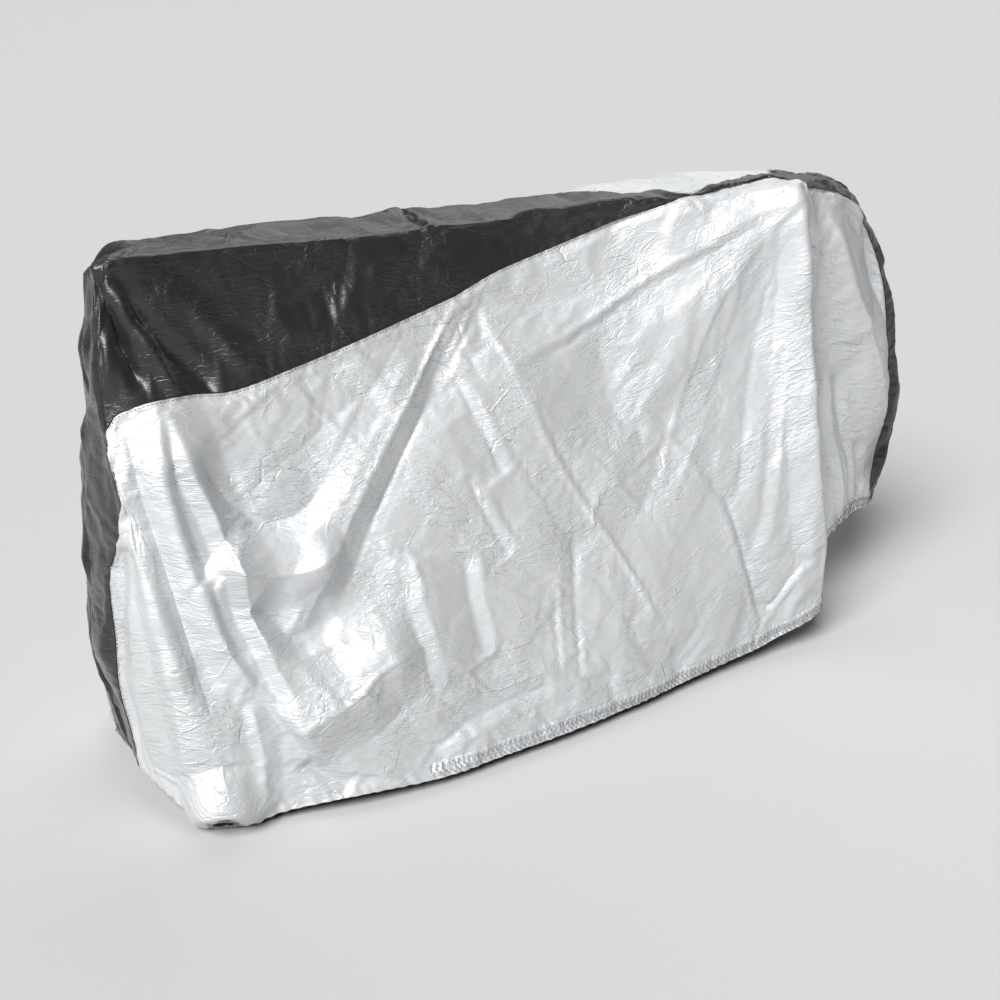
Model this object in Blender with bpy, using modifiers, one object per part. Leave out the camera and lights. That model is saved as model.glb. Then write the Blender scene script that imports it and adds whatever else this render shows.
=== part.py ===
"""Bicycle cover: a coated taffeta cover as it hangs over a bicycle, with the bicycle left out.

Two silver side panels and a black gusset between them are sewn into a hood that is open below.
The gusset is cut in three lengths, a tail, a top and a nose, and a lock eyelet sits at the near
rear corner. Metres, +Z up, +X to the bicycle's front, the near side is -Y, the floor is z = 0.
"""
import bpy
import numpy as np
from mathutils import Vector

# ---------------------------------------------------------------- driving sizes
CLOTH = 0.0015              # thickness of the sheet
SEAM = 0.0005               # how far each piece stays back from the line of a seam
FOLDED_SEAM = 0.0010        # the same where the seam runs down a folded corner
REAR_TO_MIDDLE = 0.928      # the tables measure x from the rear top corner
FLOOR_TO_HEM = 0.023        # the tables measure z from the lowest edge of the hem line

PANEL_ROWS = 18             # of a side panel, from its upper seam down to its hem
SHOULDER_COLUMNS = 7        # along its upper seam: up the tail's shoulder to the top corner,
TOP_COLUMNS = 21            # to the cross seam of the gusset,
FRONT_COLUMNS = 18          # to the pinch behind the handlebar's point
NOSE_COLUMNS = 10           # and round to the nose
CORNER_ROWS = 3             # of the tail, from the panels' top corners up to its own end
EYELET_COLUMN = 6           # of the panel's columns, the one that ends at the eyelet
GUSSET_ACROSS = 8

EYELET_CENTRE = (0.068, -0.293, 0.007)
EYELET_FACING = (-0.25, -0.66, -0.70)
EYELET_HOLE = 0.0225        # radius of the hole in the cloth
RING_BORE = 0.0205
RING_FLANGE = 0.0300
RING_HEIGHT = 0.0046
FLAT_RADIUS = 0.044         # the cloth is flat out to here round the eyelet
BLEND_RADIUS = 0.085
EYELET_RIB = 2.95
TUCK = (0.000, 0.036, -0.024)   # how far the hem turns under at the eyelet
TUCK_SPREAD = 0.60          # in ribs, to each side
TUCK_START = 0.93           # how far down the wall the tuck begins
PATCH_ROWS = 2              # the near panel's cells above the hem that the eyelet's patch takes
PATCH_FINENESS = 5          # each of them is split this finely

# ---------------------------------------------------------------- the ribs of the near half
# A rib runs from the crest, out over the top edge and down the wall to the hem, in metres.
# crest x, z | edge x, y, z | x, y at 3/4, 1/2 and 1/4 of the wall | hem x, y, z | crease of edge
NEAR_RIBS = np.array([
    (0.060, 1.000, -0.005, 0.000, 0.975, -0.034, 0.000, -0.058, 0.000, -0.062, 0.000, -0.015, 0.000, 0.020, 0.7),
    (0.066, 1.000, -0.008, -0.045, 0.985, -0.032, -0.075, -0.050, -0.095, -0.054, -0.103, -0.024, -0.105, 0.042, 0.8),
    (0.075, 1.000, 0.000, -0.080, 1.000, -0.027, -0.128, -0.005, -0.188, 0.018, -0.248, 0.030, -0.250, 0.012, 0.9),
    (0.110, 1.000, 0.050, -0.074, 1.000, 0.030, -0.155, 0.055, -0.212, 0.074, -0.268, 0.080, -0.304, 0.000, 0.9),
    (0.190, 1.000, 0.150, -0.064, 1.000, 0.150, -0.145, 0.165, -0.215, 0.170, -0.280, 0.180, -0.300, 0.000, 0.9),
    (0.330, 1.000, 0.310, -0.061, 1.000, 0.310, -0.140, 0.315, -0.215, 0.320, -0.285, 0.320, -0.330, 0.008, 0.9),
    (0.480, 1.000, 0.470, -0.062, 1.000, 0.470, -0.142, 0.470, -0.215, 0.475, -0.288, 0.480, -0.339, 0.000, 0.8),
    (0.650, 1.000, 0.650, -0.040, 1.000, 0.650, -0.130, 0.645, -0.210, 0.645, -0.282, 0.640, -0.327, 0.000, 0.8),
    (0.830, 1.000, 0.830, -0.035, 1.000, 0.825, -0.120, 0.820, -0.198, 0.815, -0.268, 0.810, -0.312, 0.000, 0.8),
    (1.010, 1.005, 1.005, -0.055, 1.010, 1.005, -0.122, 1.000, -0.185, 0.995, -0.245, 0.990, -0.284, 0.000, 0.6),
    (1.200, 1.015, 1.190, -0.103, 1.020, 1.195, -0.150, 1.205, -0.195, 1.210, -0.228, 1.215, -0.244, 0.006, 0.4),
    (1.360, 1.020, 1.310, -0.135, 1.022, 1.335, -0.172, 1.360, -0.206, 1.378, -0.220, 1.385, -0.228, 0.022, 0.4),
    (1.450, 1.025, 1.399, -0.175, 1.030, 1.434, -0.196, 1.467, -0.212, 1.508, -0.217, 1.526, -0.217, 0.060, 0.4),
    (1.500, 1.028, 1.430, -0.155, 1.030, 1.464, -0.180, 1.503, -0.180, 1.542, -0.182, 1.556, -0.182, 0.078, 0.4),
    (1.520, 1.030, 1.465, -0.132, 1.028, 1.494, -0.146, 1.532, -0.133, 1.562, -0.130, 1.578, -0.125, 0.120, 0.3),
    (1.535, 1.030, 1.530, -0.098, 1.020, 1.605, -0.125, 1.652, -0.115, 1.668, -0.110, 1.660, -0.100, 0.192, 0.2),
    (1.550, 1.030, 1.610, -0.060, 1.008, 1.722, -0.088, 1.780, -0.086, 1.793, -0.082, 1.755, -0.070, 0.208, 0.0),
    (1.557, 1.030, 1.670, -0.028, 0.988, 1.812, -0.036, 1.875, -0.040, 1.893, -0.040, 1.830, -0.034, 0.198, 0.0),
    (1.560, 1.030, 1.700, 0.000, 0.972, 1.841, 0.000, 1.903, 0.000, 1.921, 0.000, 1.872, 0.000, 0.200, 0.0),
])

# The far half keeps the near half's walls, moved to these edges.
# edge x, y, z | spread of the wall against the near one | hem z | crease of edge
FAR_EDGES = np.array([
    (-0.005, 0.000, 0.975, 1.00, 0.020, 0.7),
    (0.018, 0.040, 0.985, 0.95, 0.035, 0.8),
    (0.075, 0.088, 1.000, 0.95, 0.018, 0.9),
    (0.115, 0.096, 1.000, 0.92, 0.006, 0.9),
    (0.200, 0.103, 1.000, 0.88, 0.000, 0.9),
    (0.330, 0.106, 1.000, 0.84, 0.000, 0.9),
    (0.490, 0.120, 1.000, 0.76, 0.000, 0.8),
    (0.660, 0.155, 1.000, 0.64, 0.000, 0.7),
    (0.840, 0.160, 1.000, 0.62, 0.004, 0.4),
    (1.010, 0.142, 1.000, 0.75, 0.000, 0.2),
    (1.190, 0.165, 1.003, 0.95, 0.010, 0.2),
    (1.310, 0.172, 1.005, 1.05, 0.028, 0.2),
    (1.400, 0.176, 1.006, 1.05, 0.062, 0.2),
    (1.450, 0.150, 1.010, 1.05, 0.085, 0.2),
    (1.490, 0.120, 1.014, 1.00, 0.125, 0.2),
    (1.545, 0.085, 1.012, 1.00, 0.190, 0.2),
    (1.615, 0.055, 1.004, 1.00, 0.205, 0.0),
    (1.672, 0.026, 0.987, 1.00, 0.198, 0.0),
    (1.700, 0.000, 0.972, 1.00, 0.200, 0.0),
])

LEVELS = np.array([0.0, 0.15, 0.36, 0.57, 0.79, 1.0])    # crest, edge, 3/4, 1/2, 1/4, hem
LAST_RIB = len(NEAR_RIBS) - 1

# ---------------------------------------------------------------- folds of the walls
# side (-1 near, 1 far) | start x, z | middle x, z | end x, z | half width | depth, + is outwards
FOLDS = [
    # the fan below the rear corner
    (-1, 0.00, 0.99, 0.01, 0.90, 0.05, 0.79, 0.018, -0.016),
    (-1, 0.00, 0.98, 0.04, 0.90, 0.11, 0.78, 0.020, 0.012),
    (-1, 0.03, 0.94, 0.08, 0.86, 0.16, 0.78, 0.022, -0.010),
    (-1, 0.09, 0.95, 0.16, 0.89, 0.21, 0.80, 0.030, 0.008),
    # two ridges and the groove between them, down from the corner
    (-1, -0.01, 0.74, 0.07, 0.49, 0.20, 0.19, 0.035, 0.014),
    (-1, 0.05, 0.79, 0.08, 0.53, 0.16, 0.24, 0.026, -0.016),
    (-1, 0.06, 0.76, 0.12, 0.56, 0.21, 0.29, 0.030, 0.016),
    # the swag's hollow, its upper ledge, the hollow below it and the lower ledge
    (-1, 0.12, 0.74, 0.25, 0.58, 0.42, 0.66, 0.070, -0.022),
    (-1, 0.13, 0.48, 0.25, 0.45, 0.37, 0.48, 0.035, 0.020),
    (-1, 0.18, 0.39, 0.26, 0.37, 0.34, 0.38, 0.035, -0.018),
    (-1, 0.23, 0.19, 0.33, 0.24, 0.49, 0.27, 0.045, 0.022),
    # the long diagonal fold, ridge and groove
    (-1, 0.64, 0.85, 0.48, 0.66, 0.24, 0.31, 0.035, 0.016),
    (-1, 0.67, 0.86, 0.52, 0.66, 0.31, 0.36, 0.040, -0.018),
    # the hanging middle
    (-1, 0.49, 0.39, 0.51, 0.29, 0.53, 0.16, 0.040, -0.014),
    (-1, 0.69, 0.88, 0.75, 0.71, 0.82, 0.54, 0.040, 0.009),
    (-1, 0.85, 0.42, 0.83, 0.27, 0.82, 0.12, 0.050, -0.012),
    (-1, 0.95, 0.36, 1.01, 0.22, 1.09, 0.09, 0.035, -0.009),
    (-1, 0.78, 0.11, 0.62, 0.10, 0.45, 0.02, 0.035, -0.014),
    (-1, 0.22, 0.12, 0.27, 0.06, 0.32, 0.01, 0.035, -0.012),
    # the front, below the handlebar's corner
    (-1, 1.38, 1.01, 1.14, 0.89, 0.74, 0.73, 0.030, 0.008),
    (-1, 1.39, 1.00, 1.35, 0.80, 1.27, 0.60, 0.035, 0.009),
    (-1, 1.38, 0.95, 1.38, 0.70, 1.37, 0.30, 0.035, -0.012),
    (-1, 1.23, 0.40, 1.30, 0.22, 1.36, 0.08, 0.035, -0.008),
    # the far wall hangs in plainer folds
    (1, 0.08, 0.97, 0.14, 0.60, 0.26, 0.15, 0.040, -0.018),
    (1, 0.12, 0.97, 0.24, 0.62, 0.40, 0.22, 0.045, 0.016),
    (1, 0.28, 0.86, 0.40, 0.58, 0.60, 0.40, 0.060, -0.020),
    (1, 0.86, 0.92, 0.72, 0.60, 0.50, 0.24, 0.045, 0.016),
    (1, 0.92, 0.90, 0.84, 0.55, 0.72, 0.10, 0.050, -0.018),
    (1, 1.36, 0.98, 1.18, 0.70, 1.00, 0.20, 0.045, 0.012),
    (1, 1.40, 0.95, 1.32, 0.60, 1.26, 0.10, 0.045, -0.014),
]

# ---------------------------------------------------------------- the gusset's sections
# Each row is one section across the gusset: near seam, middle and far seam, as the rib's number
# and the place across it, from -1 at the near hem through 0 on the crest to 1 at the far hem.
TAIL_SECTIONS = [
    # near seam | far seam, both with their place down the rib
    (0.80, 1.000, 0.80),
    (0.80, 0.867, 0.80),
    (1.00, 0.747, 0.95),
    (1.15, 0.613, 1.10),
    (1.50, 0.533, 1.40),
    (1.86, 0.473, 1.80),
    (1.88, 0.425, 1.88),
    (1.90, 0.380, 1.90),
    (1.93, 0.300, 1.93),
    (1.95, 0.220, 1.95),
]
TAIL_SHOULDER = 3           # the row where the seam leans over to the panels' top corners,
TAIL_CORNER = 7             # and the row of those corners
# The top piece folds down over the rear corner, so its rows bend; the bend is mirrored over.
# near seam | near bend | middle | far seam
TOP_SECTIONS = [
    (1.90, -0.380, 1.95, -0.220, 0.00, -0.220, 1.90, 0.380),
    (2.15, -0.366, 2.02, -0.175, 0.00, -0.120, 2.18, 0.365),
    (2.40, -0.353, 2.20, -0.150, 0.00, -0.030, 2.45, 0.350),
    (3.15, -0.333, 3.00, -0.150, 2.60, 0.000, 3.20, 0.330),
    (3.75, -0.340, 3.70, -0.150, 3.60, 0.000, 3.80, 0.325),
    (4.30, -0.340, 4.27, -0.150, 4.25, 0.000, 4.35, 0.320),
    (5.00, -0.313, 5.00, -0.150, 5.00, 0.000, 5.00, 0.300),
    (5.80, -0.287, 5.80, -0.150, 5.80, 0.000, 5.80, 0.275),
    (6.35, -0.267, 6.36, -0.150, 6.37, 0.000, 6.40, 0.255),
    (7.05, -0.247, 7.06, -0.150, 7.07, 0.000, 7.05, 0.230),
]
NOSE_SECTIONS = [
    (7.05, -0.247, 7.07, 0.000, 7.05, 0.230),
    (7.65, -0.233, 7.68, 0.000, 7.70, 0.200),
    (8.40, -0.220, 8.45, -0.020, 8.50, 0.160),
    (8.80, -0.200, 8.90, -0.035, 9.00, 0.120),
    (9.20, -0.180, 9.25, -0.055, 9.35, 0.070),
    (9.65, -0.162, 9.67, -0.085, 9.70, -0.010),
    (9.85, -0.154, 9.86, -0.125, 9.88, -0.095),
    (10.00, -0.150, 10.02, -0.137, 10.05, -0.122),
    (10.30, -0.136, 10.28, -0.122, 10.27, -0.106),
    (10.70, -0.100, 10.76, -0.073, 10.83, -0.045),
    (11.10, -0.060, 11.20, -0.035, 11.30, -0.008),
    (11.60, -0.036, 11.68, -0.012, 11.75, 0.014),
    (12.10, -0.036, 12.18, -0.012, 12.28, 0.012),
    (12.42, -0.044, 12.55, -0.028, 12.64, -0.012),
    (12.66, -0.092, 13.00, -0.028, 13.30, 0.025),
    (13.00, -0.132, 15.00, 0.000, 14.20, 0.065),
    (14.05, -0.150, 18.00, -0.020, 15.20, 0.110),
    (14.90, -0.150, 18.00, -0.050, 15.80, 0.140),
    (15.60, -0.160, 18.00, -0.090, 16.30, 0.170),
    (16.40, -0.200, 18.00, -0.140, 16.80, 0.205),
    (16.85, -0.247, 18.00, -0.200, 17.00, 0.250),
    (17.00, -0.320, 18.00, -0.290, 17.00, 0.315),
    (17.00, -0.450, 18.00, -0.430, 17.00, 0.450),
    (17.00, -0.600, 18.00, -0.590, 17.00, 0.600),
    (17.00, -0.800, 18.00, -0.795, 17.00, 0.800),
    (17.00, -1.000, 18.00, -1.000, 17.00, 1.000),
]
NOSE_PINCH = 13             # the row of the pinch, at the near end of the handlebar
NOSE_SHOULDER = 20          # the row where the seams turn straight down the nose

# ---------------------------------------------------------------- colours
SILVER = (0.62, 0.63, 0.64)
BLACK = (0.012, 0.012, 0.013)
STEEL = (0.60, 0.60, 0.61)


# ---------------------------------------------------------------- the hanging form
def near_controls(rows):
    """Six points down each near rib: crest, edge, three on the wall, hem."""
    points = np.zeros((len(rows), len(LEVELS), 3))
    points[:, 0, 0], points[:, 0, 2] = rows[:, 0], rows[:, 1]
    points[:, 1] = rows[:, 2:5]
    points[:, 5] = rows[:, 11:14]
    for level, share, column in ((2, 0.75, 5), (3, 0.50, 7), (4, 0.25, 9)):
        points[:, level, :2] = rows[:, column:column + 2]
        points[:, level, 2] = rows[:, 13] + share * (rows[:, 4] - rows[:, 13])
    return points


def far_controls(near, rows):
    """The far ribs: the near ones mirrored, spread and moved to the far edge."""
    points = near.copy()
    points[:, 1] = rows[:, :3]
    for level, share in ((2, 0.75), (3, 0.50), (4, 0.25), (5, 0.0)):
        points[:, level, 0] = near[:, level, 0] + (rows[:, 0] - near[:, 1, 0]) * share
        points[:, level, 1] = rows[:, 1] + (near[:, 1, 1] - near[:, level, 1]) * rows[:, 3]
        points[:, level, 2] = rows[:, 4] + share * (rows[:, 2] - rows[:, 4])
    return points


def rib_slopes(points, crease):
    """Slopes down the ribs just above and just below each level; the edge is creased."""
    step = np.diff(LEVELS)[None, :, None]
    slope = np.diff(points, axis=1) / step
    smooth = np.empty_like(points)
    smooth[:, 0], smooth[:, -1] = slope[:, 0], slope[:, -1]
    smooth[:, 1:-1] = (slope[:, 1:] * step[:, :-1] + slope[:, :-1] * step[:, 1:])
    smooth[:, 1:-1] /= step[:, 1:] + step[:, :-1]
    above, below = smooth.copy(), smooth.copy()
    above[:, 1] += (slope[:, 0] - smooth[:, 1]) * crease[:, None]
    below[:, 1] += (slope[:, 1] - smooth[:, 1]) * crease[:, None]
    return above, below


NEAR_POINTS = near_controls(NEAR_RIBS)
FAR_POINTS = far_controls(NEAR_POINTS, FAR_EDGES)
HALVES = [(points,) + rib_slopes(points, crease) for points, crease in (
    (NEAR_POINTS, NEAR_RIBS[:, 14]), (FAR_POINTS, FAR_EDGES[:, 5]))]
HALF_HEIGHT = NEAR_POINTS[:, 3, :2]
STATIONS = np.append(0.0, np.cumsum(np.linalg.norm(np.diff(HALF_HEIGHT, axis=0), axis=1)))


def hermite(p0, p1, m0, m1, h, x):
    """Cubic between two points with their slopes, over a knot span h, at x from 0 to 1."""
    x = x[:, None]
    return (p0 * (2 * x**3 - 3 * x**2 + 1) + p1 * (3 * x**2 - 2 * x**3)
            + h * (m0 * (x**3 - 2 * x**2 + x) + m1 * (x**3 - x**2)))


def on_rib(half, rib, down):
    """A point of a whole-numbered rib of one half, down from 0 at the crest to 1 at the hem."""
    points, above, below = HALVES[half]
    k = np.clip(np.searchsorted(LEVELS, down, side="right") - 1, 0, len(LEVELS) - 2)
    h = (LEVELS[k + 1] - LEVELS[k])[:, None]
    x = (down - LEVELS[k]) / h[:, 0]
    return hermite(points[rib, k], points[rib, k + 1], below[rib, k], above[rib, k + 1], h, x)


def on_half(half, rib, down):
    """A point of one half at any rib number; past its end ribs the other half carries on."""
    station = np.interp(rib, np.arange(LAST_RIB + 1), STATIONS)
    i = np.clip(np.searchsorted(STATIONS, station, side="right") - 1, 0, LAST_RIB - 1)
    p = [on_rib(half, np.clip(i + k, 0, LAST_RIB), down) for k in (-1, 0, 1, 2)]
    first, last = i == 0, i == LAST_RIB - 1
    p[0][first] = on_rib(1 - half, np.full(first.sum(), 1), down[first])
    p[3][last] = on_rib(1 - half, np.full(last.sum(), LAST_RIB - 1), down[last])
    knots = np.concatenate([[-STATIONS[1]], STATIONS, [2 * STATIONS[-1] - STATIONS[-2]]])
    h = [(knots[i + k + 1] - knots[i + k])[:, None] for k in range(3)]
    slope = [(p[k + 1] - p[k]) / h[k] for k in range(3)]
    m0 = (slope[1] * h[0] + slope[0] * h[1]) / (h[0] + h[1])
    m1 = (slope[2] * h[1] + slope[1] * h[2]) / (h[1] + h[2])
    return hermite(p[1], p[2], m0, m1, h[1], (station - STATIONS[i]) / h[1][:, 0])


def smooth_form(rib, across):
    """The cover without its folds. across runs from -1, the near hem, to 1, the far hem."""
    out = np.empty((rib.size, 3))
    near = across <= 0
    out[near] = on_half(0, rib[near], -across[near])
    out[~near] = on_half(1, rib[~near], across[~near])
    return out


def outward(rib, across):
    """The outward direction of the smooth form."""
    step = 1e-3
    along = (smooth_form(np.minimum(rib + step, LAST_RIB), across)
             - smooth_form(np.maximum(rib - step, 0), across))
    up = (smooth_form(rib, np.minimum(across + step, 1))
          - smooth_form(rib, np.maximum(across - step, -1)))
    direction = np.cross(along, up)
    return direction / np.linalg.norm(direction, axis=1, keepdims=True)


def fold_height(x, z, side):
    """How far the folds lift the walls outwards, from the places in the FOLDS table."""
    height = np.zeros(len(x))
    place = np.stack([x, z], 1)
    bend = np.linspace(0, 1, 13)[:, None]
    for row in FOLDS:
        start, middle, end = np.array(row[1:3]), np.array(row[3:5]), np.array(row[5:7])
        width, depth = row[7:]
        pull = 2 * middle - (start + end) / 2
        line = start * (1 - bend)**2 + 2 * pull * bend * (1 - bend) + end * bend**2
        best, where = np.full(len(x), np.inf), np.zeros(len(x))
        for k in range(len(line) - 1):
            a, ab = line[k], line[k + 1] - line[k]
            share = np.clip((place - a) @ ab / (ab @ ab), 0, 1)
            away = np.linalg.norm(place - a - share[:, None] * ab, axis=1)
            closer = away < best
            best[closer] = away[closer]
            where[closer] = (k + share[closer]) / (len(line) - 1)
        ends = np.clip(np.minimum(where, 1 - where) * 6 + 0.15, 0, 1)
        height += np.where(side == row[0], depth * ends * np.exp(-(best / width)**2), 0)
    return height


def flatten_round_eyelet(points):
    """Presses the cloth flat round the eyelet and lets it fade back to the hanging form."""
    centre = np.array(EYELET_CENTRE)
    facing = np.array(EYELET_FACING) / np.linalg.norm(EYELET_FACING)
    height = ((points - centre) @ facing)[:, None] * facing
    away = np.linalg.norm(points - centre - height, axis=1)
    share = np.clip((BLEND_RADIUS - away) / (BLEND_RADIUS - FLAT_RADIUS), 0, 1)
    share = share * share * (3 - 2 * share) * (np.linalg.norm(height, axis=1) < BLEND_RADIUS)
    return points - height * share[:, None]


def to_world(points):
    """From the tables' zero, under the rear top corner, to the part's own frame."""
    return points + np.array([-REAR_TO_MIDDLE, 0.0, FLOOR_TO_HEM])


def form(places):
    """World points of the hanging cover at an array of (rib, across) places."""
    rib, across = np.clip(places.reshape(-1, 2).T, [[0], [-1]], [[LAST_RIB], [1]])
    points = smooth_form(rib, across)
    facing = outward(rib, across)
    lift = fold_height(points[:, 0], points[:, 2], np.sign(across)) * np.abs(facing[:, 1])
    tucked = np.clip((-across - TUCK_START) / (1 - TUCK_START), 0, 1)**2
    tucked *= np.exp(-((rib - EYELET_RIB) / TUCK_SPREAD)**2)
    points = points + facing * lift[:, None] + tucked[:, None] * np.array(TUCK)
    points = flatten_round_eyelet(points)
    return to_world(points).reshape(places.shape[:-1] + (3,))


# ---------------------------------------------------------------- sections and seams
def curve_through(rows, stops):
    """Smooth values of a table's rows at row numbers that need not be whole."""
    rows = np.array(rows, float)
    i = np.clip(np.floor(stops).astype(int), 0, len(rows) - 2)
    x = (stops - i)[:, None]
    p0, p1, p2, p3 = (rows[np.clip(i + k, 0, len(rows) - 1)] for k in (-1, 0, 1, 2))
    return 0.5 * (2 * p1 + (p2 - p0) * x + (2 * p0 - 5 * p1 + 4 * p2 - p3) * x**2
                  + (3 * p1 - p0 - 3 * p2 + p3) * x**3)


def even_stops(rows, columns, first, last, count):
    """Row numbers from first to last that space the curve in the given columns evenly."""
    fine = np.linspace(first, last, 401)
    line = form(curve_through(rows, fine)[:, list(columns)])
    length = np.append(0, np.cumsum(np.linalg.norm(np.diff(line, axis=0), axis=1)))
    return np.interp(np.linspace(0, length[-1], count + 1), length, fine)


def tail_rows():
    """The tail's table in the nose table's columns."""
    return [(near, -down, 0.0, -down, far, down) for near, down, far in TAIL_SECTIONS]


def even_hem(first, last, side, count):
    """Even places along the hem from one rib number to another."""
    fine = np.linspace(first, last, 801)
    line = form(np.stack([fine, np.full(801, float(side))], 1))
    length = np.append(0, np.cumsum(np.linalg.norm(np.diff(line, axis=0), axis=1)))
    ribs = np.interp(np.linspace(0, length[-1], count + 1), length, fine)
    return np.stack([ribs, np.full(count + 1, float(side))], 1)


NEAR_SEAM, FAR_SEAM = (0, 1), (-2, -1)


def stops_between(rows, corners, counts):
    """Row numbers down a table, evenly spaced from each of its corner rows to the next."""
    spans = [even_stops(rows, NEAR_SEAM, *corners[k:k + 2], count)[k > 0:]
             for k, count in enumerate(counts)]
    return np.concatenate(spans)


TAIL_STOPS = stops_between(tail_rows(), (0, TAIL_SHOULDER, TAIL_CORNER, len(TAIL_SECTIONS) - 1),
                           (PANEL_ROWS, SHOULDER_COLUMNS, CORNER_ROWS))
TOP_STOPS = stops_between(TOP_SECTIONS, (0, len(TOP_SECTIONS) - 1), (TOP_COLUMNS,))
NOSE_STOPS = stops_between(NOSE_SECTIONS, (0, NOSE_PINCH, NOSE_SHOULDER, len(NOSE_SECTIONS) - 1),
                           (FRONT_COLUMNS, NOSE_COLUMNS, PANEL_ROWS))


def panel_places(side):
    """A grid of places over a side panel, from its seams down to its hem."""
    columns = list(NEAR_SEAM if side < 0 else FAR_SEAM)
    tail, top, nose = (curve_through(rows, stops)[:, columns] for rows, stops in (
        (tail_rows(), TAIL_STOPS[:-CORNER_ROWS]),
        (TOP_SECTIONS, TOP_STOPS),
        (NOSE_SECTIONS, NOSE_STOPS)))
    left = tail[PANEL_ROWS::-1]
    upper = np.vstack([tail[PANEL_ROWS:], top[1:], nose[1:-PANEL_ROWS]])
    right = nose[-PANEL_ROWS - 1:]
    lower = np.vstack([
        even_hem(left[-1, 0], EYELET_RIB, side, EYELET_COLUMN),
        even_hem(EYELET_RIB, right[-1, 0], side, len(upper) - 1 - EYELET_COLUMN)[1:]])
    u = np.linspace(0, 1, len(upper))[:, None, None]
    v = np.linspace(0, 1, len(left))[None, :, None]
    ruled = (1 - v) * upper[:, None] + v * lower[:, None]
    crossed = (1 - u) * left[None] + u * right[None]
    corners = ((1 - u) * ((1 - v) * upper[0] + v * lower[0])
               + u * ((1 - v) * upper[-1] + v * lower[-1]))
    return ruled + crossed - corners


def patch_points(places, panel):
    """A finer grid over the eyelet's patch whose outline stays on the panel's cells."""
    fine, first = PATCH_FINENESS, EYELET_COLUMN - 1
    places, panel = (grid[first:first + 3, -PATCH_ROWS - 1:] for grid in (places, panel))

    def split(grid):
        for axis in (0, 1):
            count = grid.shape[axis]
            stops = np.linspace(0, count - 1, (count - 1) * fine + 1)
            k = np.minimum(stops.astype(int), count - 2)
            share = (stops - k).reshape((-1, 1, 1) if axis == 0 else (1, -1, 1))
            grid = grid.take(k, axis) * (1 - share) + grid.take(k + 1, axis) * share
        return grid

    points, outline = form(split(places)), split(panel)
    for edge in (np.s_[0], np.s_[-1], np.s_[:, 0], np.s_[:, -1]):
        points[edge] = outline[edge]
    return points


def edge_crossing(outer, inner):
    """Where a section crosses the cover's top edge, kept to the middle half of the section."""
    run = np.maximum(np.abs(outer[:, 1]) - np.abs(inner[:, 1]), 1e-3)
    share = np.clip((np.abs(outer[:, 1]) - LEVELS[1]) / run, 0.25, 0.75)[:, None]
    return outer * (1 - share) + inner * share


def gusset_points(rows, stops):
    """A grid of world points over a length of the gusset, from near seam to far seam."""
    sections = curve_through(rows, stops)
    near, middle, far = sections[:, :2], sections[:, -4:-2], sections[:, -2:]
    wraps = (middle[:, :1] < 1e-6) | (middle[:, :1] > LAST_RIB - 1e-6)
    mirror = np.array([1, -1])
    beyond = np.where(wraps, middle * mirror, middle)
    if len(rows[0]) > 6:
        near_bend, far_bend = sections[:, 2:4], sections[:, 2:4] * mirror
    else:
        near_bend, far_bend = edge_crossing(near, middle), edge_crossing(far, beyond)
    share = np.linspace(0, 1, GUSSET_ACROSS // 4 + 1)[None, :, None]
    legs = ((near, near_bend), (near_bend, middle), (beyond, far_bend), (far_bend, far))
    parts = [form(start[:, None] * (1 - share) + end[:, None] * share) for start, end in legs]
    return np.concatenate([parts[0]] + [part[:, 1:] for part in parts[1:]], 1)


# ---------------------------------------------------------------- making the pieces
def clear_scene():
    for obj in list(bpy.data.objects):
        bpy.data.objects.remove(obj, do_unlink=True)


def material(name, colour, roughness, metallic):
    made = bpy.data.materials.new(name)
    made.use_nodes = True
    shader = made.node_tree.nodes["Principled BSDF"]
    shader.inputs["Base Color"].default_value = (*colour, 1)
    shader.inputs["Roughness"].default_value = roughness
    shader.inputs["Metallic"].default_value = metallic
    made.diffuse_color = (*colour, 1)
    return made


def set_back(points, faces, gap):
    """Moves the outline of a sheet inwards, square to each of its edges, by the gap."""
    edges = {}
    for face in faces:
        for a, b in zip(face, face[1:] + face[:1]):
            edges[(a, b)] = face
    moves = {}
    for (a, b), face in edges.items():
        if (b, a) in edges:
            continue
        corner = [points[k] for k in face]
        normal = np.cross(corner[2] - corner[0], corner[3] - corner[1])
        inwards = np.cross(normal, points[b] - points[a])
        inwards /= np.linalg.norm(inwards)
        for k in (a, b):
            moves.setdefault(k, []).append(inwards)
    moved = points.copy()
    for k, ways in moves.items():
        way = np.sum(ways, axis=0)
        moved[k] += gap * way / max(0.5, 0.5 * (way @ way))
    return moved


def sheet(name, grid, collection, look, gap=SEAM, skip=()):
    """One piece of cloth: a grid of points, less the cells to skip, made solid."""
    columns, rows = grid.shape[0] - 1, grid.shape[1] - 1
    faces = []
    for i in range(columns):
        for j in range(rows):
            if (i, j) in skip:
                continue
            a, step = i * (rows + 1) + j, rows + 1
            faces.append([a, a + 1, a + step + 1, a + step])
    used = sorted({k for face in faces for k in face})
    number = {k: n for n, k in enumerate(used)}
    faces = [[number[k] for k in face] for face in faces]
    points = set_back(grid.reshape(-1, 3)[used], faces, gap)
    mesh = bpy.data.meshes.new(name)
    mesh.from_pydata(points.tolist(), [], faces)
    mesh.shade_smooth()
    mesh.materials.append(look)
    piece = bpy.data.objects.new(name, mesh)
    collection.objects.link(piece)
    thicken = piece.modifiers.new("Cloth", "SOLIDIFY")
    thicken.thickness = CLOTH
    thicken.offset = 0.0
    return piece


def eyelet_turn():
    """The turn that points +Z along the eyelet's facing."""
    return Vector(EYELET_FACING).to_track_quat("Z", "X")


def eyelet_place():
    return tuple(to_world(np.array(EYELET_CENTRE)))


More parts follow.
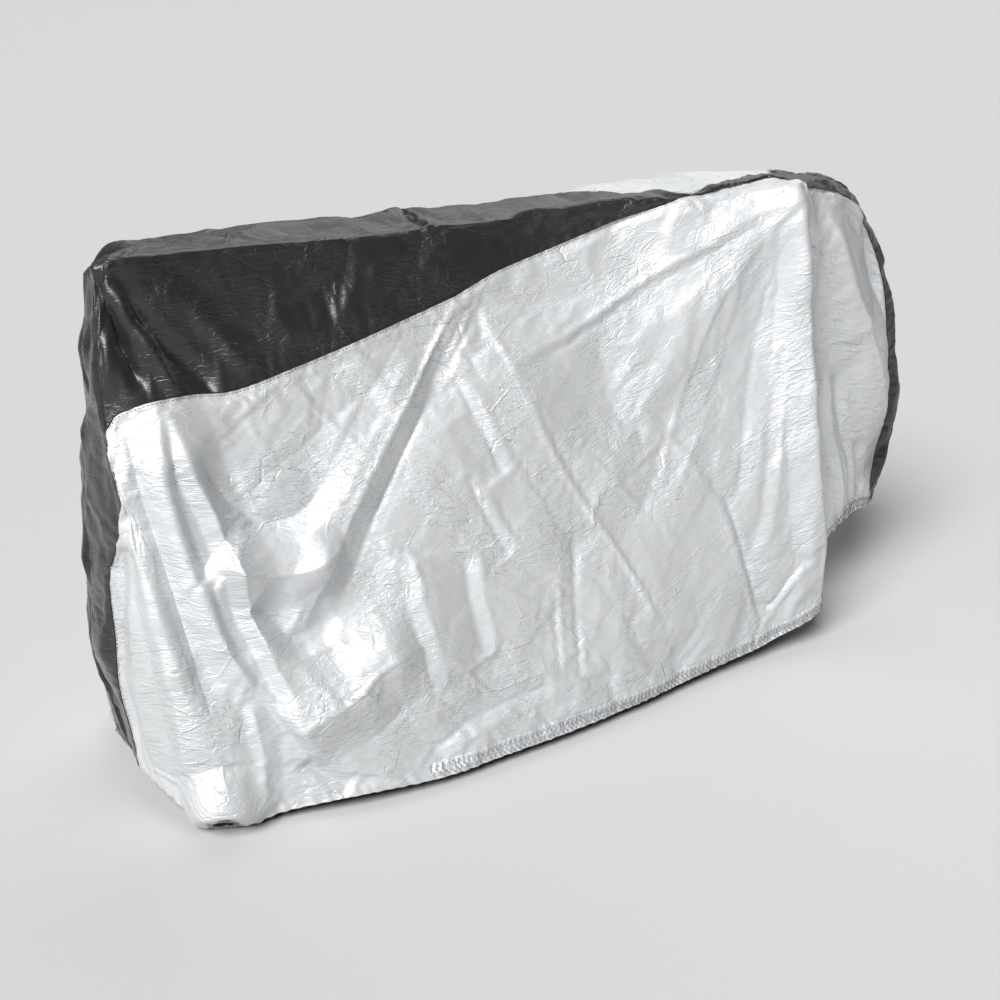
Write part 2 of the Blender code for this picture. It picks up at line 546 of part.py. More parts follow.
def ring(name, collection, look):
    """The lock eyelet: a grooved ring, turned from one profile, that clamps the cloth's edge."""
    waist, lip = EYELET_HOLE - 0.0006, CLOTH / 2 + 0.0008
    half, soft = RING_HEIGHT / 2, 0.0009
    profile = [
        (RING_BORE, half - soft), (RING_BORE + soft, half),
        (RING_FLANGE - soft, half), (RING_FLANGE, half - soft),
        (RING_FLANGE, lip), (waist, lip), (waist, -lip), (RING_FLANGE, -lip),
        (RING_FLANGE, soft - half), (RING_FLANGE - soft, -half),
        (RING_BORE + soft, -half), (RING_BORE, soft - half),
    ]
    mesh = bpy.data.meshes.new(name)
    count = len(profile)
    mesh.from_pydata([(r, 0, z) for r, z in profile], [(k, (k + 1) % count) for k in range(count)], [])
    mesh.materials.append(look)
    piece = bpy.data.objects.new(name, mesh)
    collection.objects.link(piece)
    turn = piece.modifiers.new("Turned", "SCREW")
    turn.axis = "Z"
    turn.steps = turn.render_steps = 32
    turn.use_merge_vertices = True
    turn.merge_threshold = 0.0001
    turn.use_smooth_shade = True
    piece.rotation_mode = "QUATERNION"
    piece.rotation_quaternion = eyelet_turn()
    piece.location = eyelet_place()
    return piece


def cut_eyelet_hole(piece, cutters):
    bpy.ops.mesh.primitive_cylinder_add(vertices=32, radius=EYELET_HOLE, depth=0.03)
    cutter = bpy.context.object
    cutter.name = "eyelet_hole_cutter"
    cutter.rotation_mode = "QUATERNION"
    cutter.rotation_quaternion = eyelet_turn()
    cutter.location = eyelet_place()
    cutter.hide_render = True
    cutter.display_type = "WIRE"
    for holder in list(cutter.users_collection):
        holder.objects.unlink(cutter)
    cutters.objects.link(cutter)
    cut = piece.modifiers.new("Eyelet hole", "BOOLEAN")
    cut.operation = "DIFFERENCE"
    cut.solver = "EXACT"
    cut.object = cutter


def build():
    clear_scene()
    cover = bpy.data.collections.new("bicycle_cover")
    cutters = bpy.data.collections.new("cutters")
    for holder in (cover, cutters):
        bpy.context.scene.collection.children.link(holder)
    silver = material("silver_taffeta", SILVER, 0.35, 0.35)
    black = material("black_taffeta", BLACK, 0.40, 0.0)
    steel = material("eyelet_ring", STEEL, 0.30, 0.8)

    places = panel_places(-1)
    near = form(places)
    cells = {(EYELET_COLUMN - i, PANEL_ROWS - 1 - j) for i in (0, 1) for j in range(PATCH_ROWS)}
    sheet("side_panel_near", near, cover, silver, FOLDED_SEAM, skip=cells)
    patch = sheet("eyelet_patch", patch_points(places, near), cover, silver)
    cut_eyelet_hole(patch, cutters)
    ring("eyelet_ring", cover, steel)
    sheet("side_panel_far", form(panel_places(1))[::-1], cover, silver, FOLDED_SEAM)

    for name, rows, stops, gap in (("gusset_tail", tail_rows(), TAIL_STOPS, FOLDED_SEAM),
                                   ("gusset_top", TOP_SECTIONS, TOP_STOPS, FOLDED_SEAM),
                                   ("gusset_nose", NOSE_SECTIONS, NOSE_STOPS, SEAM)):
        sheet(name, gusset_points(rows, stops), cover, black, gap)


build()
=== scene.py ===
import math

import bpy
import numpy as np
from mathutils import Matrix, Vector
from mathutils.bvhtree import BVHTree
from mathutils.geometry import delaunay_2d_cdt


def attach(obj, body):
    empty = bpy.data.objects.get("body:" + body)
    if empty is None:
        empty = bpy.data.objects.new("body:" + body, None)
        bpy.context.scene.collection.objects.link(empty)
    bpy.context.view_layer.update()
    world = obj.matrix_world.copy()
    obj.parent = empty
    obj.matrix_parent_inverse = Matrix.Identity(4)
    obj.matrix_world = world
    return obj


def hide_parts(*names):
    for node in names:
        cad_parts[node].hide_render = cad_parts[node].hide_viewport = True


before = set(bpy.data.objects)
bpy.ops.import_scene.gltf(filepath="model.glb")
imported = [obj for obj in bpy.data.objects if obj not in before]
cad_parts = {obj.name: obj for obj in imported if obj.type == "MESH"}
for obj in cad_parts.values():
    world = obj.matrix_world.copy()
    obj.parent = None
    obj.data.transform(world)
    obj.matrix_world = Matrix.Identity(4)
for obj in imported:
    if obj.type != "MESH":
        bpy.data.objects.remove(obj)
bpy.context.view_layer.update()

# ---------------------------------------------------------------- the camera
# A short telephoto lens on a stand a little above the cover's top, turned towards its middle
# from the rear quarter, so that the near side, the top and a strip of the tail all show.
camera_place = (-1.456, -2.420, 1.526)
camera_turn = 28.83         # degrees round from looking along +Y
camera_dip = 21.80          # degrees below the horizon
camera_lens = 50.4          # mm on a 36 mm wide sensor

camera = bpy.data.objects.new("camera", bpy.data.cameras.new("camera"))
camera.data.lens = camera_lens
camera.data.sensor_width = 36.0
camera.location = camera_place
camera.rotation_euler = (math.radians(90 - camera_dip), 0, -math.radians(camera_turn))
bpy.context.scene.collection.objects.link(camera)
bpy.context.scene.camera = camera

# ---------------------------------------------------------------- how the cover hangs
# The cover is a hood of two side panels and a gusset, pulled over a bicycle: its top lies on
# the saddle and the handlebar, its walls hang free and its hem is gathered by an elastic.
# Ribs run from the crest out over the top edge and down the wall. Each is a row, in metres:
# crest x, z | edge x, y, z | x, y at 3/4, 1/2 and 1/4 of the wall |
# hem x, y, z | how sharply the edge is creased, 0 to 1
rear_to_middle = 0.928
floor_to_hem = 0.023
near_ribs = np.array([
    (0.060, 1.000, -0.005, 0.000, 0.975, -0.034, 0.000, -0.058, 0.000, -0.062, 0.000,
     -0.015, 0.000, 0.020, 0.7),
    (0.066, 1.000, -0.008, -0.045, 0.985, -0.032, -0.075, -0.050, -0.095, -0.054, -0.103,
     -0.024, -0.105, 0.042, 0.8),
    (0.075, 1.000, 0.000, -0.080, 1.000, -0.027, -0.128, -0.005, -0.188, 0.018, -0.248,
     0.030, -0.250, 0.012, 0.9),
    (0.110, 1.000, 0.050, -0.074, 1.000, 0.030, -0.155, 0.055, -0.212, 0.074, -0.268,
     0.080, -0.304, 0.000, 0.9),
    (0.190, 1.000, 0.150, -0.064, 1.000, 0.150, -0.145, 0.165, -0.215, 0.170, -0.280,
     0.180, -0.300, 0.000, 0.9),
    (0.330, 1.000, 0.310, -0.061, 1.000, 0.310, -0.140, 0.315, -0.215, 0.320, -0.285,
     0.320, -0.330, 0.008, 0.9),
    (0.480, 1.000, 0.470, -0.062, 1.000, 0.470, -0.142, 0.470, -0.215, 0.475, -0.288,
     0.480, -0.339, 0.000, 0.8),
    (0.650, 1.000, 0.650, -0.040, 1.000, 0.650, -0.130, 0.645, -0.210, 0.645, -0.282,
     0.640, -0.327, 0.000, 0.8),
    (0.830, 1.000, 0.830, -0.035, 1.000, 0.825, -0.120, 0.820, -0.198, 0.815, -0.268,
     0.810, -0.312, 0.000, 0.8),
    (1.010, 1.005, 1.005, -0.055, 1.010, 1.005, -0.122, 1.000, -0.185, 0.995, -0.245,
     0.990, -0.284, 0.000, 0.6),
    (1.200, 1.015, 1.190, -0.103, 1.020, 1.195, -0.150, 1.205, -0.195, 1.210, -0.228,
     1.215, -0.244, 0.006, 0.4),
    (1.360, 1.020, 1.310, -0.135, 1.022, 1.335, -0.172, 1.360, -0.206, 1.378, -0.220,
     1.385, -0.228, 0.022, 0.4),
    (1.450, 1.025, 1.399, -0.175, 1.030, 1.434, -0.196, 1.467, -0.212, 1.508, -0.217,
     1.526, -0.217, 0.060, 0.4),
    (1.500, 1.028, 1.430, -0.155, 1.030, 1.464, -0.180, 1.503, -0.180, 1.542, -0.182,
     1.556, -0.182, 0.078, 0.4),
    (1.520, 1.030, 1.465, -0.132, 1.028, 1.494, -0.146, 1.532, -0.133, 1.562, -0.130,
     1.578, -0.125, 0.120, 0.3),
    (1.535, 1.030, 1.530, -0.098, 1.020, 1.605, -0.125, 1.652, -0.115, 1.668, -0.110,
     1.660, -0.100, 0.192, 0.2),
    (1.550, 1.030, 1.610, -0.060, 1.008, 1.722, -0.088, 1.780, -0.086, 1.793, -0.082,
     1.755, -0.070, 0.208, 0.0),
    (1.557, 1.030, 1.670, -0.028, 0.988, 1.812, -0.036, 1.875, -0.040, 1.893, -0.040,
     1.830, -0.034, 0.198, 0.0),
    (1.560, 1.030, 1.700, 0.000, 0.972, 1.841, 0.000, 1.903, 0.000, 1.921, 0.000,
     1.872, 0.000, 0.200, 0.0),
])
# The far ribs: edge x, y, z | spread of the wall against the near one | hem z | crease of edge
far_edges = np.array([
    (-0.005, 0.000, 0.975, 1.00, 0.020, 0.7),
    (0.018, 0.040, 0.985, 0.95, 0.035, 0.8),
    (0.075, 0.088, 1.000, 0.95, 0.018, 0.9),
    (0.115, 0.096, 1.000, 0.92, 0.006, 0.9),
    (0.200, 0.103, 1.000, 0.88, 0.000, 0.9),
    (0.330, 0.106, 1.000, 0.84, 0.000, 0.9),
    (0.490, 0.120, 1.000, 0.76, 0.000, 0.8),
    (0.660, 0.155, 1.000, 0.64, 0.000, 0.7),
    (0.840, 0.160, 1.000, 0.62, 0.004, 0.4),
    (1.010, 0.142, 1.000, 0.75, 0.000, 0.2),
    (1.190, 0.165, 1.003, 0.95, 0.010, 0.2),
    (1.310, 0.172, 1.005, 1.05, 0.028, 0.2),
    (1.400, 0.176, 1.006, 1.05, 0.062, 0.2),
    (1.450, 0.150, 1.010, 1.05, 0.085, 0.2),
    (1.490, 0.120, 1.014, 1.00, 0.125, 0.2),
    (1.545, 0.085, 1.012, 1.00, 0.190, 0.2),
    (1.615, 0.055, 1.004, 1.00, 0.205, 0.0),
    (1.672, 0.026, 0.987, 1.00, 0.198, 0.0),
    (1.700, 0.000, 0.972, 1.00, 0.200, 0.0),
])
levels = np.array([0.0, 0.15, 0.36, 0.57, 0.79, 1.0])    # crest, edge, 3/4, 1/2, 1/4, hem
last_rib = len(near_ribs) - 1


def near_controls(rows):
    """Six points down each near rib: crest, edge, three on the wall, hem."""
    points = np.zeros((len(rows), len(levels), 3))
    points[:, 0, 0], points[:, 0, 2] = rows[:, 0], rows[:, 1]
    points[:, 1] = rows[:, 2:5]
    points[:, 5] = rows[:, 11:14]
    for level, share, column in ((2, 0.75, 5), (3, 0.50, 7), (4, 0.25, 9)):
        points[:, level, :2] = rows[:, column:column + 2]
        points[:, level, 2] = rows[:, 13] + share * (rows[:, 4] - rows[:, 13])
    return points


def far_controls(near, rows):
    """The far ribs: the near ones mirrored, spread and moved to the far edge."""
    points = near.copy()
    points[:, 1] = rows[:, :3]
    for level, share in ((2, 0.75), (3, 0.50), (4, 0.25), (5, 0.0)):
        points[:, level, 0] = near[:, level, 0] + (rows[:, 0] - near[:, 1, 0]) * share
        points[:, level, 1] = rows[:, 1] + (near[:, 1, 1] - near[:, level, 1]) * rows[:, 3]
        points[:, level, 2] = rows[:, 4] + share * (rows[:, 2] - rows[:, 4])
    return points


def rib_slopes(points, crease):
    """Slopes down the ribs just above and just below each level; the edge is creased."""
    step = np.diff(levels)[None, :, None]
    slope = np.diff(points, axis=1) / step
    smooth = np.empty_like(points)
    smooth[:, 0], smooth[:, -1] = slope[:, 0], slope[:, -1]
    smooth[:, 1:-1] = (slope[:, 1:] * step[:, :-1] + slope[:, :-1] * step[:, 1:])
    smooth[:, 1:-1] /= step[:, 1:] + step[:, :-1]
    above, below = smooth.copy(), smooth.copy()
    above[:, 1] += (slope[:, 0] - smooth[:, 1]) * crease[:, None]
    below[:, 1] += (slope[:, 1] - smooth[:, 1]) * crease[:, None]
    return above, below


def run_along(points):
    """Lengths along a line of points, from 0 at its first."""
    return np.append(0, np.cumsum(np.linalg.norm(np.diff(points, axis=0), axis=1)))


near_points = near_controls(near_ribs)
far_points = far_controls(near_points, far_edges)
halves = [(points,) + rib_slopes(points, crease) for points, crease in (
    (near_points, near_ribs[:, 14]), (far_points, far_edges[:, 5]))]
half_height = near_points[:, 3, :2]
stations = run_along(half_height)
rib_lengths = [np.cumsum(np.linalg.norm(np.diff(points, axis=1, prepend=points[:, :1]), axis=2),
                         axis=1) for points in (near_points, far_points)]


def hermite(p0, p1, m0, m1, h, x):
    """Cubic between two points with their slopes, over a knot span h, at x from 0 to 1."""
    x = x[:, None]
    return (p0 * (2 * x**3 - 3 * x**2 + 1) + p1 * (3 * x**2 - 2 * x**3)
            + h * (m0 * (x**3 - 2 * x**2 + x) + m1 * (x**3 - x**2)))


def on_rib(half, rib, down):
    """A point of a whole-numbered rib of one half, down from 0 at the crest to 1 at the hem."""
    points, above, below = halves[half]
    k = np.clip(np.searchsorted(levels, down, side="right") - 1, 0, len(levels) - 2)
    h = (levels[k + 1] - levels[k])[:, None]
    x = (down - levels[k]) / h[:, 0]
    return hermite(points[rib, k], points[rib, k + 1], below[rib, k], above[rib, k + 1], h, x)


def on_half(half, rib, down):
    """A point of one half at any rib number; past its end ribs the other half carries on."""
    station = np.interp(rib, np.arange(last_rib + 1), stations)
    i = np.clip(np.searchsorted(stations, station, side="right") - 1, 0, last_rib - 1)
    p = [on_rib(half, np.clip(i + k, 0, last_rib), down) for k in (-1, 0, 1, 2)]
    first, last = i == 0, i == last_rib - 1
    p[0][first] = on_rib(1 - half, np.full(first.sum(), 1), down[first])
    p[3][last] = on_rib(1 - half, np.full(last.sum(), last_rib - 1), down[last])
    knots = np.concatenate([[-stations[1]], stations, [2 * stations[-1] - stations[-2]]])
    h = [(knots[i + k + 1] - knots[i + k])[:, None] for k in range(3)]
    slope = [(p[k + 1] - p[k]) / h[k] for k in range(3)]
    m0 = (slope[1] * h[0] + slope[0] * h[1]) / (h[0] + h[1])
    m1 = (slope[2] * h[1] + slope[1] * h[2]) / (h[1] + h[2])
    return hermite(p[1], p[2], m0, m1, h[1], (station - stations[i]) / h[1][:, 0])


def smooth_form(rib, across):
    """The cover without its folds. across runs from -1, the near hem, to 1, the far hem."""
    out = np.empty((rib.size, 3))
    near = across <= 0
    out[near] = on_half(0, rib[near], -across[near])
    out[~near] = on_half(1, rib[~near], across[~near])
    return out


def outward(rib, across):
    """The outward direction of the smooth form."""
    step = 1e-3
    along = (smooth_form(np.minimum(rib + step, last_rib), across)
             - smooth_form(np.maximum(rib - step, 0), across))
    up = (smooth_form(rib, np.minimum(across + step, 1))
          - smooth_form(rib, np.maximum(across - step, -1)))
    direction = np.cross(along, up)
    return direction / np.linalg.norm(direction, axis=1, keepdims=True)


def cloth_coordinates(places):
    """Metres along the cover and metres down from its crest, the far half counted as positive."""
    rib, across = places[..., 0], places[..., 1]
    ribs = np.arange(last_rib + 1)
    along = np.interp(rib, ribs, stations)
    down = np.zeros_like(along)
    for half, sign in ((0, -1), (1, 1)):
        lengths = rib_lengths[half]
        i = np.clip(rib.astype(int), 0, last_rib - 1)
        x = rib - i
        k = np.clip(np.searchsorted(levels, np.abs(across), side="right") - 1, 0, len(levels) - 2)
        y = (np.abs(across) - levels[k]) / (levels[k + 1] - levels[k])
        this = ((lengths[i, k] * (1 - x) + lengths[i + 1, k] * x) * (1 - y)
                + (lengths[i, k + 1] * (1 - x) + lengths[i + 1, k + 1] * x) * y)
        down = np.where(np.sign(across) == sign, sign * this, down)
    return along, down


# ---------------------------------------------------------------- the main folds
# The folds that the slack cloth hangs in, drawn on each wall's side view. A fold stands out or in
# along its line and falls away on each side over its own width, so its crest stays crisp.
# side (-1 near, 1 far) | its line as x, z points | width to the left of its run | to the right |
# height, + is outwards
main_folds = [
    # the fan below the rear corner
    (-1, ((0.00, 0.99), (0.01, 0.90), (0.04, 0.79)), 0.020, 0.024, -0.026),
    (-1, ((0.00, 0.98), (0.00, 0.90), (-0.02, 0.79)), 0.014, 0.018, 0.012),
    (-1, ((0.00, 0.98), (0.04, 0.90), (0.10, 0.77)), 0.018, 0.018, 0.020),
    (-1, ((0.03, 0.94), (0.09, 0.86), (0.17, 0.77)), 0.028, 0.018, -0.020),
    (-1, ((0.09, 0.95), (0.16, 0.89), (0.24, 0.79)), 0.044, 0.026, 0.013),
    (-1, ((0.07, 0.97), (0.11, 0.94), (0.15, 0.87)), 0.016, 0.008, -0.006),
    (-1, ((0.09, 0.99), (0.12, 0.97), (0.19, 0.93)), 0.014, 0.008, -0.005),
    # two ridges down from the corner, each with a groove in front of it
    (-1, ((0.00, 0.74), (0.01, 0.62), (0.03, 0.49), (0.05, 0.36), (0.07, 0.22)),
     0.036, 0.030, -0.016),
    (-1, ((0.05, 0.79), (0.05, 0.65), (0.06, 0.57), (0.08, 0.48), (0.11, 0.36), (0.16, 0.23)),
     0.018, 0.046, 0.020),
    (-1, ((0.06, 0.79), (0.09, 0.66), (0.12, 0.58), (0.15, 0.47), (0.17, 0.37), (0.23, 0.18)),
     0.070, 0.026, 0.026),
    # the swag: a hollow, the ledge that juts out below it, the pocket under that, the next ledge
    (-1, ((0.10, 0.70), (0.15, 0.60), (0.22, 0.54), (0.30, 0.55), (0.37, 0.61)),
     0.110, 0.036, -0.026),
    (-1, ((0.11, 0.50), (0.15, 0.47), (0.21, 0.45), (0.28, 0.45), (0.36, 0.48)),
     0.080, 0.064, 0.036),
    (-1, ((0.17, 0.41), (0.21, 0.37), (0.24, 0.33), (0.33, 0.36)), 0.050, 0.040, -0.016),
    (-1, ((0.20, 0.16), (0.24, 0.18), (0.33, 0.21), (0.39, 0.25), (0.48, 0.27)),
     0.120, 0.100, 0.040),
    # the long diagonal fold, ridge and groove
    (-1, ((0.67, 0.88), (0.58, 0.77), (0.48, 0.66), (0.40, 0.56), (0.31, 0.42), (0.23, 0.30)),
     0.050, 0.070, 0.016),
    (-1, ((0.70, 0.87), (0.62, 0.77), (0.54, 0.66), (0.45, 0.54), (0.37, 0.42), (0.29, 0.33)),
     0.110, 0.080, -0.011),
    # the hanging middle: one long crease from the seam to the hem, and shorter ones beside it
    (-1, ((0.69, 0.90), (0.74, 0.77), (0.80, 0.60), (0.88, 0.45), (0.96, 0.32), (1.09, 0.07)),
     0.110, 0.070, 0.012),
    (-1, ((0.63, 0.74), (0.67, 0.63), (0.71, 0.53)), 0.026, 0.070, -0.007),
    (-1, ((0.62, 0.56), (0.66, 0.46), (0.70, 0.38)), 0.024, 0.060, -0.006),
    (-1, ((0.49, 0.44), (0.50, 0.31), (0.53, 0.16)), 0.110, 0.034, 0.010),
    (-1, ((0.60, 0.42), (0.60, 0.31), (0.62, 0.20)), 0.032, 0.080, -0.009),
    (-1, ((0.86, 0.42), (0.84, 0.27), (0.83, 0.10)), 0.110, 0.040, -0.011),
    (-1, ((0.77, 0.11), (0.64, 0.10), (0.54, 0.08), (0.44, 0.02)), 0.030, 0.060, -0.012),
    (-1, ((0.22, 0.10), (0.27, 0.05), (0.31, 0.02)), 0.040, 0.030, -0.012),
    (-1, ((0.14, 0.24), (0.15, 0.12), (0.14, 0.01)), 0.040, 0.024, 0.010),
    # the front, below the handlebar's corner
    (-1, ((1.39, 1.02), (1.28, 0.96), (1.09, 0.87), (0.93, 0.79), (0.74, 0.73)),
     0.022, 0.050, 0.007),
    (-1, ((1.38, 1.00), (1.24, 0.82), (1.14, 0.62), (1.06, 0.40)), 0.110, 0.090, 0.011),
    (-1, ((1.39, 0.98), (1.33, 0.76), (1.29, 0.52), (1.27, 0.36)), 0.050, 0.080, -0.009),
    (-1, ((1.40, 0.96), (1.39, 0.70), (1.37, 0.40), (1.35, 0.25)), 0.040, 0.034, 0.007),
    (-1, ((1.23, 0.42), (1.30, 0.22), (1.36, 0.07)), 0.070, 0.022, -0.009),
    (-1, ((1.47, 0.22), (1.42, 0.17), (1.36, 0.09)), 0.018, 0.050, -0.008),
    # the side of the nose
    (-1, ((1.49, 0.98), (1.54, 0.90), (1.60, 0.79), (1.68, 0.68), (1.77, 0.50), (1.81, 0.36)),
     0.050, 0.110, 0.034),
    (-1, ((1.57, 0.62), (1.60, 0.48), (1.65, 0.35), (1.69, 0.20)), 0.018, 0.020, 0.014),
    (-1, ((1.60, 0.60), (1.64, 0.47), (1.70, 0.35), (1.75, 0.20)), 0.024, 0.018, -0.014),
    (-1, ((1.70, 0.42), (1.75, 0.32), (1.80, 0.24)), 0.030, 0.026, -0.014),
    # the far wall hangs in plainer folds
    (1, ((0.08, 0.97), (0.14, 0.60), (0.26, 0.15)), 0.040, 0.070, -0.018),
    (1, ((0.12, 0.97), (0.24, 0.62), (0.40, 0.22)), 0.060, 0.045, 0.016),
    (1, ((0.28, 0.86), (0.40, 0.58), (0.60, 0.40)), 0.060, 0.100, -0.022),
    (1, ((0.86, 0.92), (0.72, 0.60), (0.50, 0.24)), 0.045, 0.070, 0.018),
    (1, ((0.92, 0.90), (0.84, 0.55), (0.72, 0.10)), 0.080, 0.050, -0.018),
    (1, ((1.36, 0.98), (1.18, 0.70), (1.00, 0.20)), 0.045, 0.070, 0.014),
    (1, ((1.40, 0.95), (1.32, 0.60), (1.26, 0.10)), 0.060, 0.040, -0.014),
]


def curve_through(rows, stops):
    """Smooth values of a table's rows at row numbers that need not be whole."""
    rows = np.array(rows, float)
    i = np.clip(np.floor(stops).astype(int), 0, len(rows) - 2)
    x = (stops - i)[:, None]
    p0, p1, p2, p3 = (rows[np.clip(i + k, 0, len(rows) - 1)] for k in (-1, 0, 1, 2))
    return 0.5 * (2 * p1 + (p2 - p0) * x + (2 * p0 - 5 * p1 + 4 * p2 - p3) * x**2
                  + (3 * p1 - p0 - 3 * p2 + p3) * x**3)


def beside_line(x, z, line):
    """How far places lie beside a line, + to the left of its run, and how far along it, 0 to 1."""
    pieces = 4                  # straight pieces to each stretch of the line
    line = curve_through(line, np.linspace(0, len(line) - 1, (len(line) - 1) * pieces + 1))
    best, where, side = np.full(x.shape, np.inf), np.zeros(x.shape), np.ones(x.shape)
    for k in range(len(line) - 1):
        (a, c), (b, d) = line[k], line[k + 1] - line[k]
        share = np.clip(((x - a) * b + (z - c) * d) / (b * b + d * d), 0, 1)
        p, q = x - a - share * b, z - c - share * d
        away = np.hypot(p, q)
        closer = away < best
        best[closer] = away[closer]
        where[closer] = (k + share[closer]) / (len(line) - 1)
        side[closer] = np.sign(b * q - d * p)[closer]
    return best * side, where


def eased(share):
    """A share from 0 to 1 that starts and ends level."""
    return share * share * (3 - 2 * share)


def fold_rise(x, z, line, left, right, rise):
    """How far one fold lifts places x, z outwards."""
    margin = 0.02               # metres round the fold, for the bend between its line's points
    fading = 5                  # a fold dies out over one part in this many, at each end
    crisp, crisp_power = 0.75, 1.2      # the share of its fall that comes to a crisp crest
    height = np.zeros(x.shape)
    line = np.array(line)
    reach = max(left, right) + margin
    near = ((x > line[:, 0].min() - reach) & (x < line[:, 0].max() + reach)
            & (z > line[:, 1].min() - reach) & (z < line[:, 1].max() + reach))
    beside, where = beside_line(x[near], z[near], line)
    ends = eased(np.clip(np.minimum(where, 1 - where) * fading, 0, 1))
    fall = np.clip(1 - np.abs(beside) / np.where(beside > 0, left, right), 0, 1)
    height[near] = rise * ends * (crisp * fall**crisp_power + (1 - crisp) * eased(fall))
    return height


# The folds round the cover's corners, drawn on the cloth itself, as rib and across pairs.
# line | width on the side of the next rib | on the side of the last rib | height
corner_folds = [
    # the crest down the rear corner, the hollow behind it and the edge of the panel's return
    (((2.0, -0.36), (2.0, -0.50), (2.0, -0.70), (2.0, -1.03)), 0.075, 0.030, 0.018),
    (((1.90, -0.50), (1.70, -0.60), (1.50, -0.73), (1.32, -1.00)), 0.030, 0.020, 0.008),
    (((1.55, -0.55), (1.30, -0.66), (1.05, -0.80), (0.95, -1.00)), 0.036, 0.036, -0.016),
    # the crest below the handlebar's end, and the cloth beyond it stretched towards the nose
    (((12.0, -0.13), (11.85, -0.40), (11.8, -0.57), (11.8, -0.74), (12.1, -1.03)),
     0.020, 0.060, 0.022),
    (((13.0, -0.20), (13.0, -0.45), (13.2, -0.70), (13.4, -1.03)), 0.050, 0.060, -0.034),
    (((16.8, -0.20), (17.2, -0.45), (17.3, -0.70), (17.3, -1.03)), 0.030, 0.220, -0.036),
]


def fold_height(places, points, facing_side):
    """How far the folds lift the cloth outwards at an array of (rib, across) places."""
    x, z = points[:, 0], points[:, 2]
    height = np.zeros(x.shape)
    for side, line, left, right, rise in main_folds:
        here = np.sign(places[:, 1]) == side
        height[here] += fold_rise(x[here], z[here], line, left, right, rise)
    height *= np.abs(facing_side)
    along, down = cloth_coordinates(places)
    for line, left, right, rise in corner_folds:
        line = np.stack(cloth_coordinates(np.array(line)), 1)
        height += fold_rise(along, down, line, left, right, rise)
    return height


# ---------------------------------------------------------------- the tuck at the lock eyelet
# At the near rear corner the hem turns under. The cloth there is doubled and stiff, so it lies
# flat round the metal eyelet that a cable lock goes through.
eyelet_centre = np.array((0.068, -0.293, 0.007))
eyelet_facing = np.array((-0.25, -0.66, -0.70))
eyelet_facing /= np.linalg.norm(eyelet_facing)
flat_radius, blend_radius = 0.044, 0.085
eyelet_rib = 2.95
tuck = np.array((0.000, 0.036, -0.024))
tuck_spread, tuck_start = 0.60, 0.93


def flatten_round_eyelet(points):
    """Lays the cloth flat within flat_radius of the eyelet, and eases off to blend_radius."""
    height = ((points - eyelet_centre) @ eyelet_facing)[:, None] * eyelet_facing
    away = np.linalg.norm(points - eyelet_centre - height, axis=1)
    share = np.clip((blend_radius - away) / (blend_radius - flat_radius), 0, 1)
    share = eased(share) * (np.linalg.norm(height, axis=1) < blend_radius)
    return points - height * share[:, None]


def hang(places):
    """World points of the hanging cover at an array of (rib, across) places."""
    rib, across = np.clip(places.reshape(-1, 2).T, [[0], [-1]], [[last_rib], [1]])
    points = smooth_form(rib, across)
    facing = outward(rib, across)
    lift = fold_height(np.stack([rib, across], 1), points, facing[:, 1])
    tucked = np.clip((-across - tuck_start) / (1 - tuck_start), 0, 1)**2
    tucked *= np.exp(-((rib - eyelet_rib) / tuck_spread)**2)
    points = points + facing * lift[:, None] + tucked[:, None] * tuck
    points = flatten_round_eyelet(points) + np.array([-rear_to_middle, 0.0, floor_to_hem])
    return points.reshape(places.shape[:-1] + (3,))


# ---------------------------------------------------------------- the seams
# The gusset's cut, as sections across it: near seam, middle and far seam, each a rib number and
# a place across it. The side panels are cut to the same seams.
tail_sections = [(near, -down, 0.0, -down, far, down) for near, down, far in (
    (0.80, 1.000, 0.80),
    (0.80, 0.867, 0.80),
    (1.00, 0.747, 0.95),
    (1.15, 0.613, 1.10),
    (1.64, 0.533, 1.40),
    (2.00, 0.478, 1.80),
    (2.02, 0.430, 1.88),
    (1.95, 0.380, 1.90),
    (1.93, 0.300, 1.93),
    (1.95, 0.220, 1.95),
)]
tail_shoulder, tail_corner = 3, 7           # rows where the cut turns
# near seam | near bend | middle | far seam; the bend is mirrored over
top_sections = [
    (1.95, -0.380, 1.95, -0.220, 0.00, -0.220, 1.90, 0.380),
    (2.15, -0.366, 2.02, -0.175, 0.00, -0.120, 2.18, 0.365),
    (2.40, -0.353, 2.20, -0.150, 0.00, -0.030, 2.45, 0.350),
    (3.15, -0.338, 3.00, -0.150, 2.60, 0.000, 3.20, 0.330),
    (3.75, -0.338, 3.70, -0.150, 3.60, 0.000, 3.80, 0.325),
    (4.30, -0.343, 4.27, -0.150, 4.25, 0.000, 4.35, 0.320),
    (5.00, -0.326, 5.00, -0.150, 5.00, 0.000, 5.00, 0.300),
    (5.80, -0.300, 5.80, -0.150, 5.80, 0.000, 5.80, 0.275),
    (6.35, -0.281, 6.36, -0.150, 6.37, 0.000, 6.40, 0.255),
    (7.05, -0.258, 7.06, -0.150, 7.07, 0.000, 7.05, 0.230),
]
